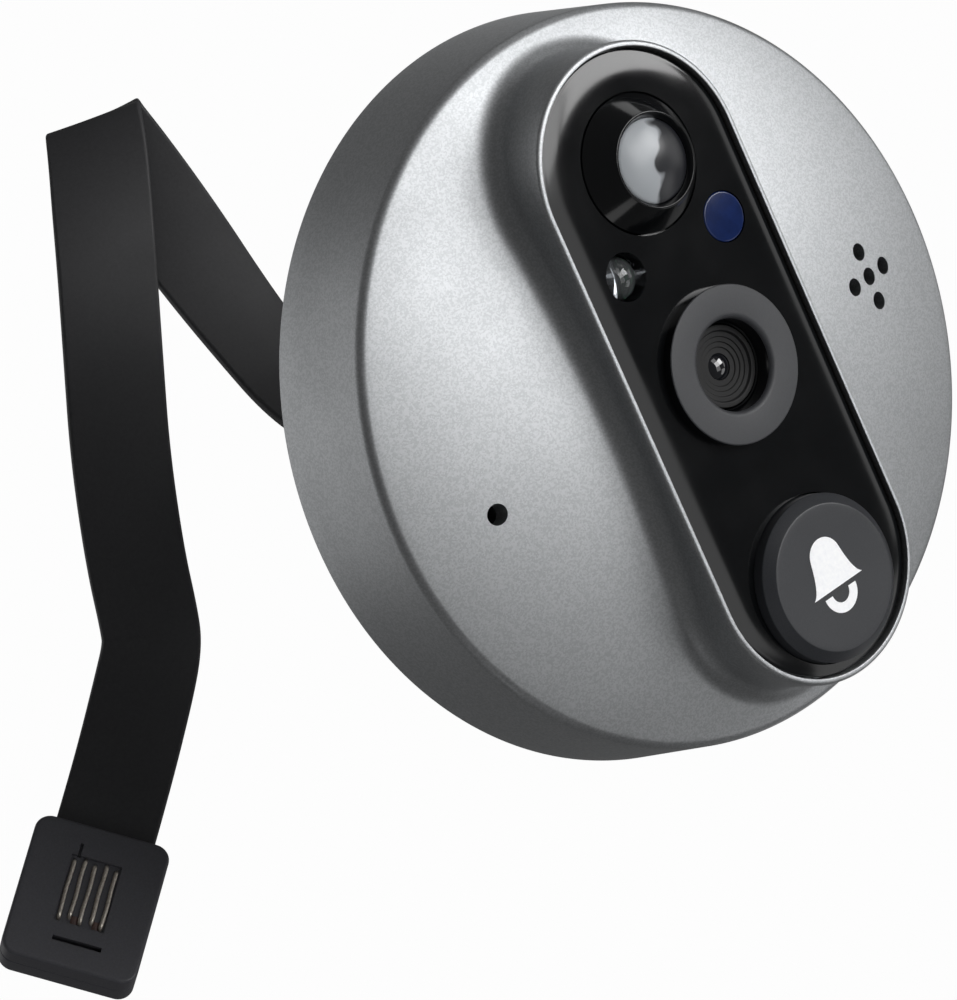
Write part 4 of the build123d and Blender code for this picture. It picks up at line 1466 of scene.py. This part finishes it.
    def bed(self) -> bpy.types.Object:
        """Builds the brown floor under the wires, ribbed between them.

        Returns:
            The piece.
        """
        pitch = self.contact_pitch
        half = pitch * (self.contact_count - 1) / 2 + 0.33
        across = np.linspace(-half, half, 81)
        rib = 0.06 * np.cos(across / pitch * FULL_TURN + math.pi)
        low, high = -self.contact_top - self.contact_length - 0.1, -self.contact_top + 0.1
        top = self.front - 0.42 + rib
        upper = np.column_stack([across, top])
        lower = np.array([(half, self.front - 0.7), (-half, self.front - 0.7)])
        section = np.concatenate([upper, lower])
        rings = [
            np.column_stack([section[:, 0], np.full(len(section), y), section[:, 1]])
            for y in (low, high)
        ]
        piece = ringed("plug_contact_bed", self.place(np.stack(rings)), rows_close=False, capped=True)
        return dress(piece, CONTACT_BED, HOUSING)

    def build(self) -> list[bpy.types.Object]:
        """Builds the whole plug.

        Returns:
            Its pieces.
        """
        return [*self.shells(), self.contacts(), self.bed()]


# ---------------------------------------------------------------- back and inside


@dataclass
class BackSide:
    """Foam pad and rubber bush on the unit's back."""

    pad_outer: float = 30.45
    pad_inner: float = 9.5
    pad_thickness: float = 1.0
    bush_half_width: float = 5.9
    bush_half_height: float = 1.35
    bush_outside: float = 4.0
    cable_width: float = 9.4
    cable_thickness: float = 1.0

    def pad(self) -> None:
        """Turns the foam ring with soft edges."""
        corners = [
            (self.pad_inner, 0.0, 0.25),
            (self.pad_outer, 0.0, 0.25),
            (self.pad_outer, self.pad_thickness, 0.0),
            (self.pad_inner, self.pad_thickness, 0.0),
        ]
        piece = turned("foam_pad", rounded(corners, closed=True), rows_close=True, columns=192)
        dress(piece, FOAM, HOUSING, ("adhesive_pad",))

    def _slot_ring(self, half_width: float, half_height: float, corner: float, height: float) -> np.ndarray:
        """Rounded rectangle about the unit's axis, at a height, in the row frame."""
        corners = [
            (half_width, -half_height, corner),
            (half_width, half_height, corner),
            (-half_width, half_height, corner),
            (-half_width, -half_height, corner),
        ]
        outline = rounded(corners, closed=True, steps=8)
        return to_row(outline[:, 0], outline[:, 1], np.full(len(outline), height))

    def bush(self) -> None:
        """Builds the rubber bush: a tapered nose with two ribs, and the cable's slot through it."""
        share = np.linspace(0.0, 1.0, 25)
        end_half_width, end_half_height = self.cable_width / 2 + 0.8, self.cable_thickness / 2 + 0.45
        rib = 0.10 * np.cos(share * 4 * math.pi) - 0.10
        outer = [
            self._slot_ring(
                self.bush_half_width * (1 - s) + end_half_width * s + r * (s < 0.999),
                self.bush_half_height * (1 - s) + end_half_height * s + r * (s < 0.999),
                0.5,
                -self.bush_outside * s,
            )
            for s, r in zip(share, rib)
        ]
        inner_half_width, inner_half_height = self.cable_width / 2 + 0.06, self.cable_thickness / 2 + 0.06
        inner = [
            self._slot_ring(inner_half_width, inner_half_height, 0.3, height)
            for height in (-self.bush_outside, 3.6)
        ]
        inside = [
            self._slot_ring(self.bush_half_width + 0.6, self.bush_half_height + 0.1, 0.5, 3.6),
            self._slot_ring(self.bush_half_width + 0.6, self.bush_half_height + 0.1, 0.5, 3.0),
            self._slot_ring(self.bush_half_width, self.bush_half_height, 0.5, 3.0),
        ]
        piece = ringed("cable_bush", np.stack([*outer, *inner, *inside]), rows_close=True)
        dress(piece, RUBBER, HOUSING, ("cable_grommet",))

    def build(self) -> None:
        """Builds the pad and the bush."""
        self.pad()
        self.bush()


@dataclass
class Interior:
    """The CAD nodes that stay: each gets the finish of its slot."""

    record: dict[str, object]
    nodes: dict[str, bpy.types.Object]

    def dress(self) -> None:
        """Puts each node's finish into its material slots."""
        for row in self.record["subparts"]:
            node = self.nodes[row["node"]]
            material = SLOT_FINISHES[row["material_slot"]].material()
            for material_slot in node.material_slots:
                material_slot.material = material
            log.info("%s: %s", node.name, material.name)


# ---------------------------------------------------------------- studio


@dataclass(frozen=True)
class SoftBox:
    """Area light aimed at the unit.

    Attributes:
        name: The light's name.
        azimuth: Degrees round from the unit's front, to the right.
        elevation: Degrees above the horizon.
        distance: Distance from the unit, in metres.
        size: Width and height, in metres.
        power: Power in watts.
        tint: sRGB hex of its colour.
        glossy: Whether it shows in reflections.
    """

    name: str
    azimuth: float
    elevation: float
    distance: float
    size: tuple[float, float]
    power: float
    tint: str = "ffffff"
    glossy: bool = True

    def build(self, target: Vector) -> None:
        """Hangs the light and turns it to the target.

        Args:
            target: The point it looks at.
        """
        data = bpy.data.lights.new(self.name, "AREA")
        data.shape = "RECTANGLE"
        data.size, data.size_y = self.size
        data.energy = self.power
        data.color = linear(self.tint)[:3]
        light = bpy.data.objects.new(self.name, data)
        bpy.context.scene.collection.objects.link(light)
        side, rise = math.radians(self.azimuth), math.radians(self.elevation)
        way = Vector((math.sin(side) * math.cos(rise), -math.cos(side) * math.cos(rise), math.sin(rise)))
        light.location = target + way * self.distance
        light.rotation_euler = way.to_track_quat("Z", "Y").to_euler()
        light.visible_camera = False
        light.visible_glossy = self.glossy


@dataclass
class Studio:
    """Camera, soft lights, pale floor and pale surround."""

    camera_place: tuple[float, float, float] = (-0.230423, -0.324996, 0.083261)
    camera_angles: tuple[float, float, float] = (76.2957, 23.9189, -39.0859)
    lens: float = 169.46
    floor_z: float = -0.16
    surround_radius: float = 4.0
    lights: tuple[SoftBox, ...] = (
        SoftBox("key_right", 40.0, 11.0, 0.8, (0.34, 0.34), 2.75),
        SoftBox("key_left", 15.0, 10.0, 0.8, (0.34, 0.34), 1.85),
        SoftBox("high", 12.0, 32.0, 0.8, (0.34, 0.34), 0.5),
        SoftBox("low", 12.0, -14.0, 0.8, (0.34, 0.34), 0.4),
        SoftBox("low_right", 45.0, -36.0, 0.8, (0.34, 0.34), 0.42),
        SoftBox("right", 66.0, -8.0, 0.8, (0.34, 0.34), 0.34),
        SoftBox("back_left", -145.0, 12.0, 0.8, (0.8, 0.8), 1.3),
        SoftBox("back_right", 155.0, 5.0, 0.8, (0.6, 0.6), 0.34),
        SoftBox("left_fill", -45.0, -15.0, 0.8, (0.4, 0.4), 1.4, glossy=False),
        SoftBox("cone_low_left", -70.0, -50.0, 0.5, (0.12, 0.12), 0.04),
        SoftBox("cone_top", 97.0, 53.0, 0.5, (0.14, 0.14), 0.08),
        SoftBox("cone_bottom", 122.0, -55.0, 0.5, (0.16, 0.16), 0.05),
    )

    def camera(self) -> None:
        """Makes the camera at the picture's viewing angle."""
        data = bpy.data.cameras.new("camera")
        data.lens = self.lens
        data.sensor_width = 36.0
        data.clip_end = 50.0
        camera = bpy.data.objects.new("camera", data)
        bpy.context.scene.collection.objects.link(camera)
        camera.location = self.camera_place
        camera.rotation_euler = Euler([math.radians(angle) for angle in self.camera_angles])
        bpy.context.scene.camera = camera

    def _glow(self, title: str, code: str, strength: float) -> bpy.types.Material:
        """Material that shines evenly, so that the surround is pale in every view."""
        material = bpy.data.materials.new(title)
        material.use_nodes = True
        tree = material.node_tree
        tree.nodes.clear()
        values = {"Color": linear(code), "Strength": strength}
        glow = add_node(tree, "ShaderNodeEmission", None, values)
        add_node(tree, "ShaderNodeOutputMaterial", None, None, {"Surface": glow.outputs["Emission"]})
        return material

    def surround(self) -> None:
        """Makes the floor and the ball round it; only the camera sees them."""
        columns, rows = 64, 24
        angle = np.arange(columns) / columns * FULL_TURN
        rise = np.linspace(-math.pi / 2, math.pi / 2, rows)[:, None]
        radius = self.surround_radius
        ball = np.stack(
            np.broadcast_arrays(
                radius * np.cos(rise) * np.cos(angle),
                radius * np.cos(rise) * np.sin(angle),
                radius * np.sin(rise),
            ),
            axis=-1,
        )
        dome = ringed("surround", ball, rows_close=False)
        dome.data.materials.append(self._glow("surround_glow", "ffffff", 1.0))
        disc_radius = np.array([0.0, 0.3, 1.0, 2.0, radius * 0.99])[:, None]
        disc = np.stack(
            np.broadcast_arrays(
                disc_radius * np.cos(angle),
                disc_radius * np.sin(angle),
                np.full_like(disc_radius, self.floor_z),
            ),
            axis=-1,
        )
        floor = ringed("floor", disc, rows_close=False)
        floor.data.materials.append(self._glow("floor_glow", "fdfdfd", 1.0))
        for piece in (dome, floor):
            piece.visible_diffuse = False
            piece.visible_glossy = False
            piece.visible_transmission = False
            piece.visible_shadow = False

    def world(self) -> None:
        """Dim grey world, a little brighter behind the unit than in front of it."""
        world = bpy.data.worlds.new("world")
        bpy.context.scene.world = world
        world.use_nodes = True
        tree = world.node_tree
        tree.nodes.clear()
        direction = add_node(tree, "ShaderNodeTexCoord").outputs["Generated"]
        axes = add_node(tree, "ShaderNodeSeparateXYZ", None, None, {"Vector": direction})
        spread = {"From Min": -0.6, "From Max": 0.7, "To Min": 0.075, "To Max": 0.13}
        strength = add_node(tree, "ShaderNodeMapRange", None, spread, {"Value": axes.outputs["Y"]})
        links = {"Strength": strength.outputs["Result"]}
        glow = add_node(tree, "ShaderNodeBackground", None, {"Color": linear("ffffff")}, links)
        add_node(tree, "ShaderNodeOutputWorld", None, None, {"Surface": glow.outputs["Background"]})

    def build(self) -> None:
        """Builds the whole studio."""
        self.camera()
        self.world()
        self.surround()
        for light in self.lights:
            light.build(Vector((0.0, -0.01, 0.0)))
        bpy.context.scene.view_settings.view_transform = "Standard"


def main() -> None:
    """Builds the studio and the object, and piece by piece."""
    logging.basicConfig(level=logging.INFO, format="%(name)s: %(message)s")
    Studio().build()
    Casing().build()
    FrontPanel().build()
    MotionSensor().build()
    SideWindows().build()
    CameraEye().build()
    BellButton().build()
    plug_pieces = Plug().build()
    FlatCable().build(plug_pieces)
    BackSide().build()
    Interior(frame["record"], frame["nodes"]).dress()


if __name__ == "__main__":
    main()
